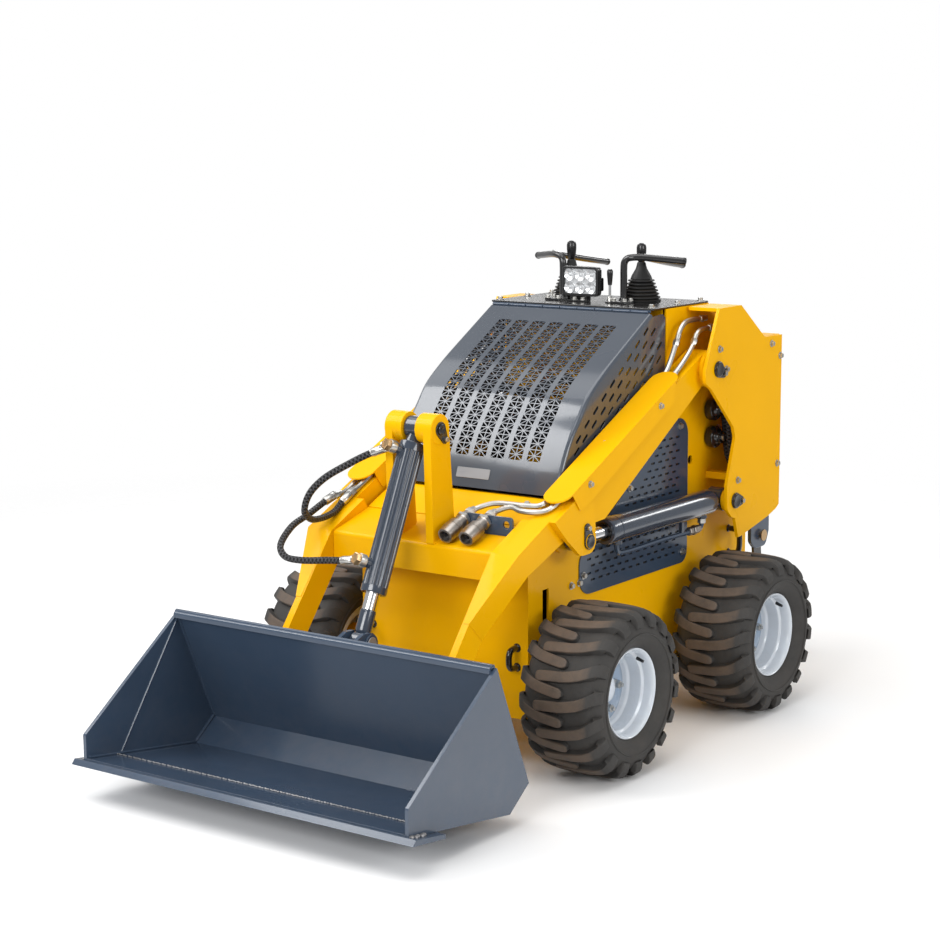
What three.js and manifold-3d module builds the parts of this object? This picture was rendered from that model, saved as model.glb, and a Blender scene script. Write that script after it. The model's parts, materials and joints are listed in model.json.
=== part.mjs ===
// Compact stand-on skid steer loader with a bucket, 18 x 9.50-8 tyres and one tilt cylinder.
// Millimetres, +X to the machine's left, -Y to the bucket, +Z up.
// Heights are taken above the ground and lengths from the middle between the axles.

import * as THREE from 'three';
import { mergeVertices } from 'three/addons/utils/BufferGeometryUtils.js';
import { ConvexGeometry } from 'three/addons/geometries/ConvexGeometry.js';
import Module from 'manifold-3d';

const wasm = await Module();
wasm.setup();

// ---------------------------------------------------------------- driving dimensions

const seatGap = 0.3;               // between pieces that touch
const pinGap = 0.5;                // round a pin that turns in its bore
const sheet = 3;                   // hood, guards and covers
const plate = 12;                  // towers, brackets and lugs
const arcSteps = 2;                // half the segments of a rounded corner
const ringSteps = 16;              // segments of a round piece

// wheels
const wheelBase = 761;
const tyreRadius = 225;
const axleHeight = 222;            // the loaded tyres stand 3 mm lower than they are round
const tyreWidth = 241;
const wheelOffset = 436;           // machine centre to the middle of a tyre
const rimRadius = 118.7;           // over the flanges
const rimWidth = 178;
const hubRadius = 52;
const housingRadius = 62;
const hubReach = 51;               // hub's inner end, inboard of the tyre's middle

// chassis
const chassisHalf = 273;           // half the width over the side walls
const chassisWall = 6;
const frontFace = -473;
const rearFace = 685;
const bellyHeight = 129;
const rearBellyHeight = 200;
const deckHeight = 1150;
const deckSheet = 6;
const frontTop = 560;

// towers
const towerOuter = 381;
const towerPlate = 10;
const capFront = 319;
const capRear = 444;
const shelfHeight = 1045;
const shelfFront = 586;

// hood
const hoodTopFront = 132;
const hoodRear = 204;
const hoodFoot = [-338, 700];

// lift arms
const liftPivot = [313, 978];
const liftPinRadius = 20;
const bossRadius = 52;
const armInner = 286.5;
const armOuter = 349;
const kneeInner = 260;
const kneeOuter = 342;
const legPlate = 20;
const armSlope = 0.469;            // rise of the arm's top edge per length
const armTopFront = [-479, 664];
const knee = [-617, 600];
const guardLift = 27;              // guard's top above the arm's top edge
const guardFront = -404;
const guardRear = 111;
const guardInner = 283;
const guardDepth = 58;

// lift cylinders
const liftBase = [423, 588];
const liftEye = [-322, 591];
const liftAxis = 324;              // distance of the cylinder from the machine's middle
const liftBarrelRadius = 36.5;
const liftRodRadius = 19;
const liftEyeRadius = 31;
const liftEyeWidth = 40;
const liftBarrelFront = 132;       // from the rod's eye to the barrel's front end

// bucket
const bucketHalf = 514;
const bucketSheet = 6;
const bucketPivot = [-805, 200];
const bladeHalf = 540;
const legEndRadius = 42;

// tilt cylinder
const tiltTop = [-580, 893];
const tiltEye = [-825, 375];
const tiltBarrelRadius = 34;
const tiltBarrelLength = 446;      // from the top pin to the barrel's lower end
const tiltRodRadius = 19;
const tiltEyeWidth = 32;
const tiltPinRadius = 15;
const bucketPinRadius = 17.5;

// uprights that carry the tilt cylinder
const uprightInner = 22;
const uprightPlate = [50, 74];     // inner and outer faces, from the machine's middle

// controls on the deck
const leverSpot = [119, 328];
const handleSpot = [103, 259];
const tubeRadius = 10;

// ---------------------------------------------------------------- materials

const paint = (color, roughness, metalness) =>
  new THREE.MeshStandardMaterial({ color, roughness, metalness });
const yellow = () => paint(0xf2ae00, 0.35, 0.1);
const slate = () => paint(0x3b4653, 0.4, 0.2);
const black = () => paint(0x17191c, 0.45, 0.1);
const rubber = () => paint(0x2b2622, 0.9, 0.0);
const silver = () => paint(0xc4c7c9, 0.35, 0.8);
const chrome = () => paint(0xe4e6e8, 0.12, 1.0);
const glass = () => paint(0xd9d4c4, 0.2, 0.1);

// ---------------------------------------------------------------- shapes

// A closed outline from corners [u, v, radius]; a corner with a radius is an arc.
function outline(corners) {
  const shape = new THREE.Shape();
  const count = corners.length;
  corners.forEach(([u, v, radius = 0], i) => {
    const corner = new THREE.Vector2(u, v);
    const [u0, v0] = corners[(i + count - 1) % count];
    const [u1, v1] = corners[(i + 1) % count];
    const back = new THREE.Vector2(u0, v0).sub(corner).normalize();
    const ahead = new THREE.Vector2(u1, v1).sub(corner).normalize();
    const half = Math.acos(THREE.MathUtils.clamp(back.dot(ahead), -1, 1)) / 2;
    const reach = radius / Math.tan(half);
    const start = back.clone().multiplyScalar(reach).add(corner);
    if (i === 0) shape.moveTo(start.x, start.y);
    else shape.lineTo(start.x, start.y);
    if (radius === 0) return;
    const end = ahead.clone().multiplyScalar(reach).add(corner);
    const middle = back.clone().add(ahead).normalize();
    const centre = middle.multiplyScalar(radius / Math.sin(half)).add(corner);
    const from = Math.atan2(start.y - centre.y, start.x - centre.x);
    const to = Math.atan2(end.y - centre.y, end.x - centre.x);
    shape.absarc(centre.x, centre.y, radius, from, to, back.cross(ahead) > 0);
  });
  shape.closePath();
  return shape;
}

function circle(u, v, radius) {
  return new THREE.Path().absarc(u, v, radius, 0, Math.PI * 2, false);
}

const axisX = new THREE.Vector3(1, 0, 0);
const axisY = new THREE.Vector3(0, 1, 0);
const axisZ = new THREE.Vector3(0, 0, 1);

function extrude(shape, depth, basis, holes) {
  shape.holes.push(...holes);
  const options = { depth, bevelEnabled: false, curveSegments: arcSteps };
  return new THREE.ExtrudeGeometry(shape, options).applyMatrix4(basis);
}

// Slab with a side outline in Y and Z, from x0 to x1.
function slabX(corners, x0, x1, holes = []) {
  const basis = new THREE.Matrix4().makeBasis(axisY, axisZ, axisX);
  const low = Math.min(x0, x1);
  const depth = Math.abs(x1 - x0);
  return extrude(outline(corners), depth, basis, holes).translate(low, 0, 0);
}

// Slab with a front outline in X and Z, from y0 to y1.
function slabY(corners, y0, y1, holes = []) {
  const basis = new THREE.Matrix4().makeBasis(axisX, axisZ, axisY.clone().negate());
  return extrude(outline(corners), y1 - y0, basis, holes).translate(0, y1, 0);
}

// Slab with a top outline in X and Y, from z0 to z1.
function slabZ(corners, z0, z1, holes = []) {
  return extrude(outline(corners), z1 - z0, new THREE.Matrix4(), holes).translate(0, 0, z0);
}

function block(x0, x1, y0, y1, z0, z1) {
  const size = [Math.abs(x1 - x0), Math.abs(y1 - y0), Math.abs(z1 - z0)];
  const middle = [(x0 + x1) / 2, (y0 + y1) / 2, (z0 + z1) / 2];
  return new THREE.BoxGeometry(...size).translate(...middle);
}

// Round bar across the machine.
function barX([y, z], radius, x0, x1, steps = ringSteps) {
  const bar = new THREE.CylinderGeometry(radius, radius, Math.abs(x1 - x0), steps);
  return bar.rotateZ(Math.PI / 2).translate((x0 + x1) / 2, y, z);
}

// Round bar or cone between two points.
function bar(from, to, radius, endRadius = radius, steps = ringSteps) {
  const a = new THREE.Vector3(...from);
  const b = new THREE.Vector3(...to);
  const direction = b.clone().sub(a);
  const geometry = new THREE.CylinderGeometry(endRadius, radius, direction.length(), steps);
  const turn = new THREE.Quaternion().setFromUnitVectors(axisY, direction.normalize());
  const middle = a.add(b).multiplyScalar(0.5);
  return geometry.applyQuaternion(turn).translate(middle.x, middle.y, middle.z);
}

// Tube or hose through points, with its bends rounded by a curve.
function tube(points, radius, steps, sides = 8) {
  const section = new THREE.Shape();
  for (let i = 0; i < sides; i += 1) {
    const angle = (i / sides) * Math.PI * 2;
    const spot = [radius * Math.cos(angle), radius * Math.sin(angle)];
    if (i === 0) section.moveTo(...spot);
    else section.lineTo(...spot);
  }
  section.closePath();
  const path = new THREE.CatmullRomCurve3(points.map((p) => new THREE.Vector3(...p)));
  path.curveType = 'centripetal';
  const options = { steps, bevelEnabled: false, extrudePath: path };
  return new THREE.ExtrudeGeometry(section, options);
}

function toSolid(geometry) {
  const bare = geometry.clone();
  bare.deleteAttribute('normal');
  bare.deleteAttribute('uv');
  const merged = mergeVertices(bare, 1e-3);
  const vertProperties = new Float32Array(merged.attributes.position.array);
  const triVerts = new Uint32Array(merged.index.array);
  return new wasm.Manifold(new wasm.Mesh({ numProp: 3, vertProperties, triVerts }));
}

function toGeometry(solid) {
  const { vertProperties, triVerts } = solid.getMesh();
  const geometry = new THREE.BufferGeometry();
  geometry.setAttribute('position', new THREE.BufferAttribute(vertProperties, 3));
  geometry.setIndex(new THREE.BufferAttribute(triVerts, 1));
  geometry.computeVertexNormals();
  return geometry;
}

function join(...pieces) {
  return toGeometry(pieces.map(toSolid).reduce((whole, piece) => whole.add(piece)));
}

function cut(base, ...tools) {
  return toGeometry(tools.map(toSolid).reduce((rest, tool) => rest.subtract(tool), toSolid(base)));
}

function add(parent, name, geometry, material) {
  const mesh = new THREE.Mesh(geometry, material);
  mesh.name = name;
  parent.add(mesh);
  return mesh;
}

const machine = new THREE.Group();
const sides = [['left', 1], ['right', -1]];

// ---------------------------------------------------------------- wheels

const treadHalf = tyreWidth / 2;

// Ring about the wheel's axle (local X) from points [radius, offset along the axle].
function lathe(profile, steps) {
  const points = profile.map(([radius, along]) => new THREE.Vector2(radius, along));
  points.push(points[0].clone());
  return new THREE.LatheGeometry(points, steps).rotateZ(-Math.PI / 2);
}

const beadSeat = rimRadius - 14;
const wheelSteps = 26;
const tyreWall = 30;

function tyreGeometry() {
  const bead = rimWidth / 2 - 12;
  const shoulder = rimRadius + 3;
  return lathe([
    [beadSeat, -bead], [shoulder, -bead - 2], [beadSeat + 50, -treadHalf + 3], [tyreRadius - 40, -treadHalf],
    [tyreRadius, -treadHalf + 30], [tyreRadius, treadHalf - 30], [tyreRadius - 40, treadHalf],
    [beadSeat + 50, treadHalf - 3], [shoulder, bead + 2], [beadSeat, bead], [beadSeat, bead - 20],
    [tyreRadius - tyreWall, treadHalf - tyreWall], [tyreRadius - tyreWall, -treadHalf + tyreWall],
    [beadSeat, -bead + 20],
  ], wheelSteps);
}

function rimGeometry() {
  const half = rimWidth / 2;
  const seat = beadSeat - seatGap;
  const inner = seat - 5;
  return lathe([
    [0, -hubReach], [hubRadius, -hubReach], [hubRadius, -14], [inner, -14],
    [inner, -half], [rimRadius, -half], [rimRadius, 5 - half], [seat, 9 - half],
    [seat, half - 9], [rimRadius, half - 5], [rimRadius, half], [inner, half], [inner, -6],
    [hubRadius, 2], [0, 2],
  ], wheelSteps);
}

for (const [side, s] of sides) {
  for (const [end, e] of [['front', -1], ['rear', 1]]) {
    const wheel = new THREE.Group();
    wheel.position.set(s * wheelOffset, (e * wheelBase) / 2, axleHeight);
    wheel.rotation.z = s > 0 ? 0 : Math.PI;
    add(wheel, `rim_${end}_${side}`, rimGeometry(), silver());
    add(wheel, `tyre_${end}_${side}`, tyreGeometry(), rubber());
    machine.add(wheel);
  }
}

// ---------------------------------------------------------------- chassis

const [pivotY, pivotZ] = liftPivot;
const [footY, footZ] = hoodFoot;
const wallGap = 6;                 // hood's side sheet to the wall below it
const hoodSideRise = 190;          // hood's side edge from its foot to its rear end
const deckFront = hoodTopFront + 6;
const bellyRear = 640;

const wallOutline = [
  [frontFace, bellyHeight], [frontFace, frontTop, 12], [-345, 686],
  [hoodRear + wallGap, footZ + hoodSideRise - wallGap],
  [hoodRear + wallGap, deckHeight - seatGap], [capRear, deckHeight - seatGap],
  [shelfFront, shelfHeight], [rearFace, shelfHeight], [rearFace, rearBellyHeight],
  [bellyRear, bellyHeight],
];

function mainFrame() {
  const outer = slabX(wallOutline, -chassisHalf, chassisHalf);
  const t = chassisWall;
  const inside = chassisHalf - t;
  const cavity = slabX([
    [frontFace + t, bellyHeight + t], [frontFace + t, frontTop + 200], [footY - 60, deckHeight + 60],
    [capRear - t, deckHeight + 60], [capRear - t, deckHeight - 20], [shelfFront - t, shelfHeight - t],
    [rearFace - t, shelfHeight - t], [rearFace - t, rearBellyHeight + t], [bellyRear - t, bellyHeight + t],
  ], -inside, inside);
  const slot = block(-chassisHalf - 5, chassisHalf + 5, -406, -378, 330, 465);
  const sight = barX([350, 707], 13, -chassisHalf - 5, chassisHalf + 5, 12);
  const vent = slabX(ventOutline, -chassisHalf - 5, chassisHalf + 5);
  const mouth = block(40 - inside, inside - 40, rearFace - 20, rearFace + 20, 590, 960);
  const top = block(-inside, inside, capRear - 30, rearFace - 60, shelfHeight - 30, deckHeight + 20);
  const housings = [];
  const rest = [[-200, 734], [-200, 748], [-170, 758.5], [-170, 745]];
  for (const [, s] of sides) {
    for (const e of [-1, 1]) {
      const tip = wheelOffset - hubReach - seatGap;
      housings.push(barX([(e * wheelBase) / 2, axleHeight], housingRadius, s * (inside - 4), s * tip));
    }
    housings.push(slabX(rest, s * (inside + 1), s * (inside + 5)));
  }
  return join(cut(outer, cavity, slot, sight, vent, mouth, top), ...housings);
}

// Opening in each side wall behind the slotted cover.
const ventOutline = [
  [-186, 440, 30], [290, 440, 30], [290, 745], [140, 745], [-40, 620], [-186, 545, 20],
];
const coverOutline = [
  [-235, 415, 55], [331, 415, 35], [331, 835, 50], [215, 835, 20], [136, 773, 40],
  [-25, 656], [-104, 606, 40], [-235, 520, 40],
];

add(machine, 'main_frame', mainFrame(), yellow());

for (const [side, s] of sides) {
  const x0 = s * (chassisHalf + seatGap);
  const x1 = s * (chassisHalf + seatGap + sheet);
  add(machine, `side_cover_${side}`, slabX(coverOutline, x0, x1), slate());
}

add(machine, 'deck_plate', slabZ([
  [-chassisHalf, deckFront, 6], [chassisHalf, deckFront, 6],
  [chassisHalf, capRear], [-chassisHalf, capRear],
], deckHeight, deckHeight + deckSheet), slate());

// One folded sheet over the console's slope, the shelf and the rear wall.
const rearHalf = 266;

function rearCover() {
  const t = sheet;
  const lift = 1.3;                // clears the slope it lies on
  return slabX([
    [capRear + 3, deckHeight - 1], [shelfFront + 1, shelfHeight + lift],
    [rearFace + seatGap, shelfHeight + lift], [rearFace + seatGap, 560],
    [rearFace + seatGap + t, 560], [rearFace + seatGap + t, shelfHeight + lift + t],
    [shelfFront + 2, shelfHeight + lift + t], [capRear + 3, deckHeight + t + 1],
  ], -rearHalf, rearHalf);
}

add(machine, 'rear_cover', rearCover(), yellow());

const floorTop = bellyHeight + chassisWall + seatGap;
add(machine, 'engine_block', join(
  block(-180, 180, -150, 250, 300, 700),
  block(-190, -150, -120, 220, floorTop, 310), block(150, 190, -120, 220, floorTop, 310),
), black());

// Tie-down handles: two on the front plate and one on each rear side wall.
function tieDown(points, wall) {
  return cut(tube(points, 8.5, 10, 6), wall);
}

for (const [side, s] of sides) {
  const face = frontFace - seatGap;
  const out = frontFace - 37;
  const span = chassisHalf - 35;
  add(machine, `tie_down_front_${side}`, tieDown([
    [s * span, face + 8, 268], [s * span, out + 20, 268], [s * span, out, 280],
    [s * span, out, 308], [s * span, out + 20, 320], [s * span, face + 8, 320],
  ], block(s * (span - 38), s * (span + 32), face, face + 40, 240, 350)), black());
  const wall = chassisHalf + seatGap;
  const reach = s * (wall + 36);
  add(machine, `tie_down_rear_${side}`, tieDown([
    [s * (wall - 8), 580, 470], [s * (wall + 18), 580, 470], [reach, 580, 458],
    [reach, 580, 410], [s * (wall + 18), 580, 398], [s * (wall - 8), 580, 398],
  ], block(s * (wall - 30), s * wall, 560, 600, 370, 500)), black());
}

// ---------------------------------------------------------------- towers

const towerOutline = [
  [capFront, deckHeight - 2], [capRear, deckHeight - 2], [shelfFront, shelfHeight],
  [692, shelfHeight - 2], [690, 538], [672, 527], [625, 512], [459, 478], [444, 477], [423, 536],
  [405, 541, 10], [378, 565, 20], [374, 637, 20], [419, 770, 20], [408, 802, 20], [279, 924, 30],
  [244, 944, 16], [243, 979],
];

function tower(s) {
  const inner = towerOuter - towerPlate;
  const wall = chassisHalf + seatGap;
  const x = (a) => s * a;
  const reach = inner + 1;
  const capEdge = rearHalf + 15;
  return join(
    slabX(towerOutline, x(inner), x(towerOuter)),
    block(x(capEdge), x(reach), capFront, capRear, deckHeight - 12, deckHeight - 2),
    slabX([
      [capRear - 2, deckHeight - 2], [capRear - 2, deckHeight - 12], [shelfFront - 4, shelfHeight - 9],
      [690, shelfHeight - 9], [690, shelfHeight], [shelfFront, shelfHeight],
    ], x(capEdge), x(reach)),
    block(x(wall), x(reach), 600, 620, 560, 640),
    block(x(capEdge), x(reach), 682, 690, 552, shelfHeight - 1),
    block(x(inner - 24), x(reach), 350, 390, 1035, 1055),
    block(x(wall), x(reach), 438, 470, 642, 662),
    barX(liftPivot, liftPinRadius, x(wall), x(reach)),
    barX(liftBase, liftPinRadius - seatGap, x(liftAxis - 26), x(reach)),
    barX(liftBase, 30, x(liftAxis + 29), x(reach)),
  );
}

for (const [side, s] of sides) add(machine, `tower_${side}`, tower(s), yellow());

// ---------------------------------------------------------------- hood

const hoodProfile = [
  [footY, footZ], [-314, 764], [-275, 840], [-228, 898], [-187, 948], [-112, 1002], [-68, 1029],
  [hoodTopFront, 1143],
];

// Hood profile moved inwards by a sheet's thickness.
function inset(profile, depth) {
  return profile.map(([y, z], i) => {
    const [y0, z0] = profile[Math.max(i - 1, 0)];
    const [y1, z1] = profile[Math.min(i + 1, profile.length - 1)];
    const run = new THREE.Vector2(y1 - y0, z1 - z0).normalize();
    return [y + run.y * depth, z - run.x * depth];
  });
}

function hood() {
  const half = chassisHalf;
  const sideFoot = [hoodRear, footZ + hoodSideRise];
  const frontSheet = slabX(
    [...hoodProfile, ...inset(hoodProfile, sheet).reverse()], 1 - half, half - 1);
  const returnLip = slabX([
    [footY, footZ], [footY, footZ - 3], [footY + 20, footZ - 3], [footY + 20, footZ],
  ], 15 - half, half - 15);
  const side = (s) => slabX([
    ...hoodProfile, [hoodRear - 12, 1141, 10], [hoodRear, 1128], sideFoot,
  ], s * (half - sheet), s * half);
  return join(frontSheet, returnLip, side(1), side(-1));
}

add(machine, 'hood', hood(), slate());

// ---------------------------------------------------------------- controls on the deck

const deckTop = deckHeight + deckSheet + seatGap;

for (const [side, s] of sides) {
  const [leverX, leverY] = leverSpot;
  const bootFoot = [s * leverX, leverY, deckTop];
  const at = (z) => [s * leverX, leverY, z];
  add(machine, `joystick_${side}`, join(
    bar(bootFoot, at(1216), 58, 39),
    bar(at(1215), at(1258), 39, 12),
    bar(at(1257), at(1268), 8, 8, 12),
    bar(at(1266), at(1321), 11, 14),
  ), black());

  const [gripX, gripY] = handleSpot;
  const rise = deckTop + 128;
  const at2 = (px, py, pz) => [s * px, py, pz];
  const foot = block(s * 86, s * 138, 213, gripY + 3, deckTop, deckTop + 6);
  const grip = tube([
    at2(gripX, gripY, deckTop + 3), at2(gripX, gripY, rise - 40), at2(gripX + 4, gripY, rise - 18),
    at2(gripX + 30, gripY + 6, rise - 1), at2(gripX + 47, gripY + 18, rise),
    at2(250, 349, 1273),
  ], tubeRadius, 14);
  const rearBar = bar(at2(152, 280, 1286), at2(130, 540, 1247), tubeRadius, tubeRadius, 10);
  add(machine, `handle_${side}`, join(foot, grip, rearBar), black());
}

add(machine, 'throttle_lever', join(
  block(64, 84, 220, 240, deckTop, deckTop + 4),
  bar([75, 230, deckTop + 2], [75, 230, deckTop + 52], 4, 4, 8),
  bar([75, 230, deckTop + 50], [75, 230, deckTop + 96], 6, 9, 10),
), black());

function workLight() {
  return join(
    block(-60, 6, 214, 238, deckTop, deckTop + 4),
    block(-50, -4, 224, 230, deckTop + 2, 1180),
    slabY([[-80, 1176, 10], [27, 1176, 10], [27, 1254, 10], [-80, 1254, 10]], 215, 255),
  );
}

add(machine, 'work_light', workLight(), black());

// ---------------------------------------------------------------- lift arms

const armTop = (y) => armTopFront[1] + armSlope * (y - armTopFront[0]);
const legFront = [-816, 350];
const legRear = [-737, 327];
const legTopRear = [-602, 497];
const taperEnd = [[-744, 443], [-690, 391]];      // where the knee's outer side meets the leg
const cutLine = [[-479, 664], [-428, 613]];       // front end of the upper box

const upperOutline = [
  [pivotY - 30, armTop(pivotY - 30)], ...cutLine, [-397, 606], [-300, 630], [-225, 634],
  [pivotY - 26, 936],
];
const kneeOutline = [[-440, armTop(-440)], knee, [-573, 541], [-395, 607]];
const kneeInnerOutline = [
  [-479, armTop(-479)], knee, [-573, 541], [-466, 581], [-441, 606], [-479, 664],
];
const legOutline = [
  knee, legFront, [bucketPivot[0] - 36, bucketPivot[1] + 22, 20],
  [bucketPivot[0] + 38, bucketPivot[1] + 18, 20], legRear, legTopRear, [-560, 546],
];
const bracketOutline = [
  ...cutLine, [liftEye[0] - 38, liftEye[1] - 34, 32], [liftEye[0] + 38, liftEye[1] - 34, 32],
  [liftEye[0] + 32, 640, 30], [-300, 700], [-300, armTop(-300) - 2],
];

// Room in the arm's underside for the rod when the arms are up.
const rodSlotHalf = liftRodRadius + 2.5;
const rodSlotOutline = [
  [liftEye[0] + 10, liftEye[1] - 31], [liftEye[0] + 10, liftEye[1] + 31],
  [liftEye[0] + 272, liftEye[1] + 131], [liftEye[0] + 272, liftEye[1] - 31],
];

function arm(s) {
  const x = (a) => s * a;
  const at = (a, [y, z]) => new THREE.Vector3(x(a), y, z);
  const deep = kneeInner + 4;
  const skin = kneeInner + legPlate + 1;
  const kneeFoot = [-573, 541];
  const taper = new ConvexGeometry([
    at(deep, knee), at(deep, kneeFoot), at(deep, taperEnd[0]), at(deep, taperEnd[1]),
    at(kneeOuter, knee), at(kneeOuter, kneeFoot), at(skin, taperEnd[0]), at(skin, taperEnd[1]),
  ]);
  const bracketFace = armOuter + plate;
  const whole = join(
    slabX(upperOutline, x(armInner), x(armOuter)),
    barX(liftPivot, bossRadius, x(armInner), x(armOuter + 6)),
    slabX(kneeOutline, x(armInner), x(kneeOuter)),
    slabX(kneeInnerOutline, x(kneeInner), x(armInner + 1)),
    slabX(legOutline, x(kneeInner), x(kneeInner + legPlate)),
    barX(bucketPivot, legEndRadius, x(kneeInner), x(kneeInner + legPlate)),
    taper,
    slabX(bracketOutline, x(armOuter - 1), x(bracketFace)),
    slabX(bracketOutline, x(armInner), x(armInner + plate)),
    barX(liftEye, 20, x(bracketFace - 1), x(bracketFace + 6), 12),
  );
  const bore = barX(liftPivot, liftPinRadius + pinGap, x(armInner - 20), x(towerOuter + 20));
  const bucketBore = barX(bucketPivot, bucketPinRadius + pinGap, x(kneeInner - 20), x(kneeOuter));
  const rodSlot = slabX(rodSlotOutline, x(liftAxis - rodSlotHalf), x(liftAxis + rodSlotHalf));
  return cut(whole, bore, bucketBore, rodSlot);
}

for (const [side, s] of sides) add(machine, `arm_${side}`, arm(s), yellow());

const crossHalf = kneeInner - seatGap;
const crossOutline = [
  [-611, 522], [-611, 598, 12], [-461, 639], [-500, 530],
];
const uprightOutline = [
  [-612, 600], [tiltTop[0] - 40, tiltTop[1]], [tiltTop[0] + 40, tiltTop[1]], [-518, 630], [-560, 560],
];

function crossMember() {
  const [inner, outer] = uprightPlate;
  const pieces = [slabX(crossOutline, -crossHalf, crossHalf)];
  for (const s of [1, -1]) {
    pieces.push(slabX(uprightOutline, s * inner, s * outer));
    pieces.push(barX(tiltTop, 40, s * uprightInner, s * outer));
  }
  pieces.push(barX(tiltTop, tiltPinRadius, -outer - 4, outer + 4, 16));
  return join(...pieces);
}

add(machine, 'cross_member', crossMember(), yellow());

// Channel guards over the steel tubes on the arms.
function guard(s) {
  const t = 4;
  const outer = 365;
  const top = (y) => armTop(y) + guardLift;
  const flank = [
    [guardFront, top(guardFront) - 1], [-366, 676, 14], [-330, 690],
    [guardRear - 10, top(guardRear - 10) - guardDepth, 12], [guardRear, top(guardRear) - 1],
  ];
  const slope = Math.atan(armSlope);
  const length = (guardRear - guardFront) / Math.cos(slope);
  const half = (outer - guardInner) / 2;
  const topSheet = slabZ([
    [-half, -half, half - 1], [half, -half, half - 1],
    [half, length + half, half - 1], [-half, length + half, half - 1],
  ], 0, t);
  topSheet.rotateX(slope).translate(s * (guardInner + half), guardFront, top(guardFront) - t);
  const post = (y) => slabX([
    [y, armTop(y) + seatGap], [y, top(y) - 2], [y + 18, top(y + 18) - 2],
    [y + 18, armTop(y + 18) + seatGap],
  ], s * 311, s * 320);
  return join(topSheet, slabX(flank, s * (outer - 1.7), s * outer),
    slabX(flank, s * guardInner, s * (guardInner + 2)), post(-330), post(20));
}

for (const [side, s] of sides) add(machine, `guard_${side}`, guard(s), yellow());

// Steel tubes under the guards, held together by a clamp, with swivel ends in the tower.
const pipeRadius = 6;
const lanes = [armInner + 15, armInner + 43];
const pipeOver = (y) => armTop(y) + pipeRadius + 5;
const upperEnds = [
  [[180, 1000], [214, 1052], [238, 1092], [262, 1108], [290, 1113], [380, 1113]],
  [[205, 1004], [240, 1030], [263, 1052], [280, 1076], [302, 1086], [380, 1089]],
];

function armPipes(s, ends) {
  const pipes = lanes.map((lane, i) => tube([
    ...ends[i], [s * lane, -380, pipeOver(-380)], [s * lane, 0, pipeOver(0)],
    [s * lane, 148, pipeOver(148)], ...upperEnds[i].map(([y, z]) => [s * lane, y, z]),
  ], pipeRadius, 22, 6));
  const clamp = slabX([
    [-182, armTop(-182) + seatGap], [-182, armTop(-182) + 18],
    [-160, armTop(-160) + 18], [-160, armTop(-160) + seatGap],
  ], s * (lanes[0] - 9), s * (lanes[1] + 9));
  return join(...pipes, clamp);
}

const bracketFront = -522;
const bracketRear = -514;
const couplerSpots = [108, 174];
const couplerHeight = 658;
const couplerAhead = [0, -0.93, -0.37];
const leftEnds = couplerSpots.map((x, i) => [
  [x, bracketFront + 18, couplerHeight + 9.6], [x + 8, -482 - 4 * i, 676],
  [x + 46, -458 - 14 * i, 690], [250, -448 - 22 * i, pipeOver(-448 - 22 * i) + 3],
  [lanes[i] - 14, -436 - 18 * i, pipeOver(-436 - 18 * i)],
]);
const rightEnds = [
  [[-lanes[0], -485, 677], [-lanes[0], -450, pipeOver(-450)]],
  [[-lanes[1], -520, 673], [-lanes[1], -480, pipeOver(-480)]],
];

add(machine, 'pipes_left', armPipes(1, leftEnds), silver());
add(machine, 'pipes_right', armPipes(-1, rightEnds), silver());

// Bracket that stands on the cross member, with two quick couplers through it.
function couplerBracket() {
  const crossTop = (y) => 639.5 + 0.2733 * (y + 461);
  const foot = crossTop(bracketRear) + 0.5;
  const pieces = [
    slabY([[89, foot], [258, foot], [258, 672], [89, 672]], bracketFront, bracketRear),
    slabX([[bracketFront, crossTop(bracketFront)], [bracketFront, crossTop(bracketFront) + 5],
      [-486, crossTop(-486) + 5], [-486, crossTop(-486)]], 89, 258),
  ];
  for (const x of couplerSpots) {
    const ahead = (d) => [x, bracketFront + couplerAhead[1] * d, couplerHeight + couplerAhead[2] * d];
    pieces.push(bar(ahead(-18), ahead(40), 15, 15, 12));
    pieces.push(bar(ahead(38), ahead(92), 19, 19, 12));
  }
  return cut(join(...pieces), bar([239, -540, 650], [239, -500, 650], 9, 9, 12));
}

add(machine, 'coupler_bracket', couplerBracket(), slate());

// ---------------------------------------------------------------- lift cylinders

const along = (from, to) => {
  const run = new THREE.Vector2(to[0] - from[0], to[1] - from[1]);
  return { length: run.length(), unit: run.normalize() };
};

const lift = along(liftBase, liftEye);
const liftPoint = (x, d) => [x, liftBase[0] + lift.unit.x * d, liftBase[1] + lift.unit.y * d];

for (const [side, s] of sides) {
  const x = s * liftAxis;
  const barrelEnd = lift.length - liftBarrelFront;
  const at = (d, drop) => {
    const [, y, z] = liftPoint(x, d);
    return [x, y, z - drop];
  };
  const barrel = join(
    barX(liftBase, 34, x - 23, x + 23),
    bar(liftPoint(x, 20), liftPoint(x, 62), 22, 34),
    bar(liftPoint(x, 60), liftPoint(x, barrelEnd), liftBarrelRadius),
    tube([at(70, 20), at(76, 62), at(90, 71), at(540, 71), at(560, 62), at(566, 20)], 7, 12, 6),
  );
  const bore = bar(liftPoint(x, 120), liftPoint(x, barrelEnd + 10), liftRodRadius + seatGap);
  const pinBore = barX(liftBase, liftPinRadius - seatGap + pinGap, x - 40, x + 40);
  add(machine, `lift_barrel_${side}`, cut(barrel, bore, pinBore), slate());
  const rod = join(
    bar(liftPoint(x, 124), liftPoint(x, lift.length - 20), liftRodRadius),
    barX(liftEye, liftEyeRadius, x - liftEyeWidth / 2, x + liftEyeWidth / 2),
  );
  const eye = barX(liftEye, 20, x - 40, x + 40, 16);
  add(machine, `lift_rod_${side}`, cut(rod, eye), chrome());
}

// ---------------------------------------------------------------- tilt cylinder

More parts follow.
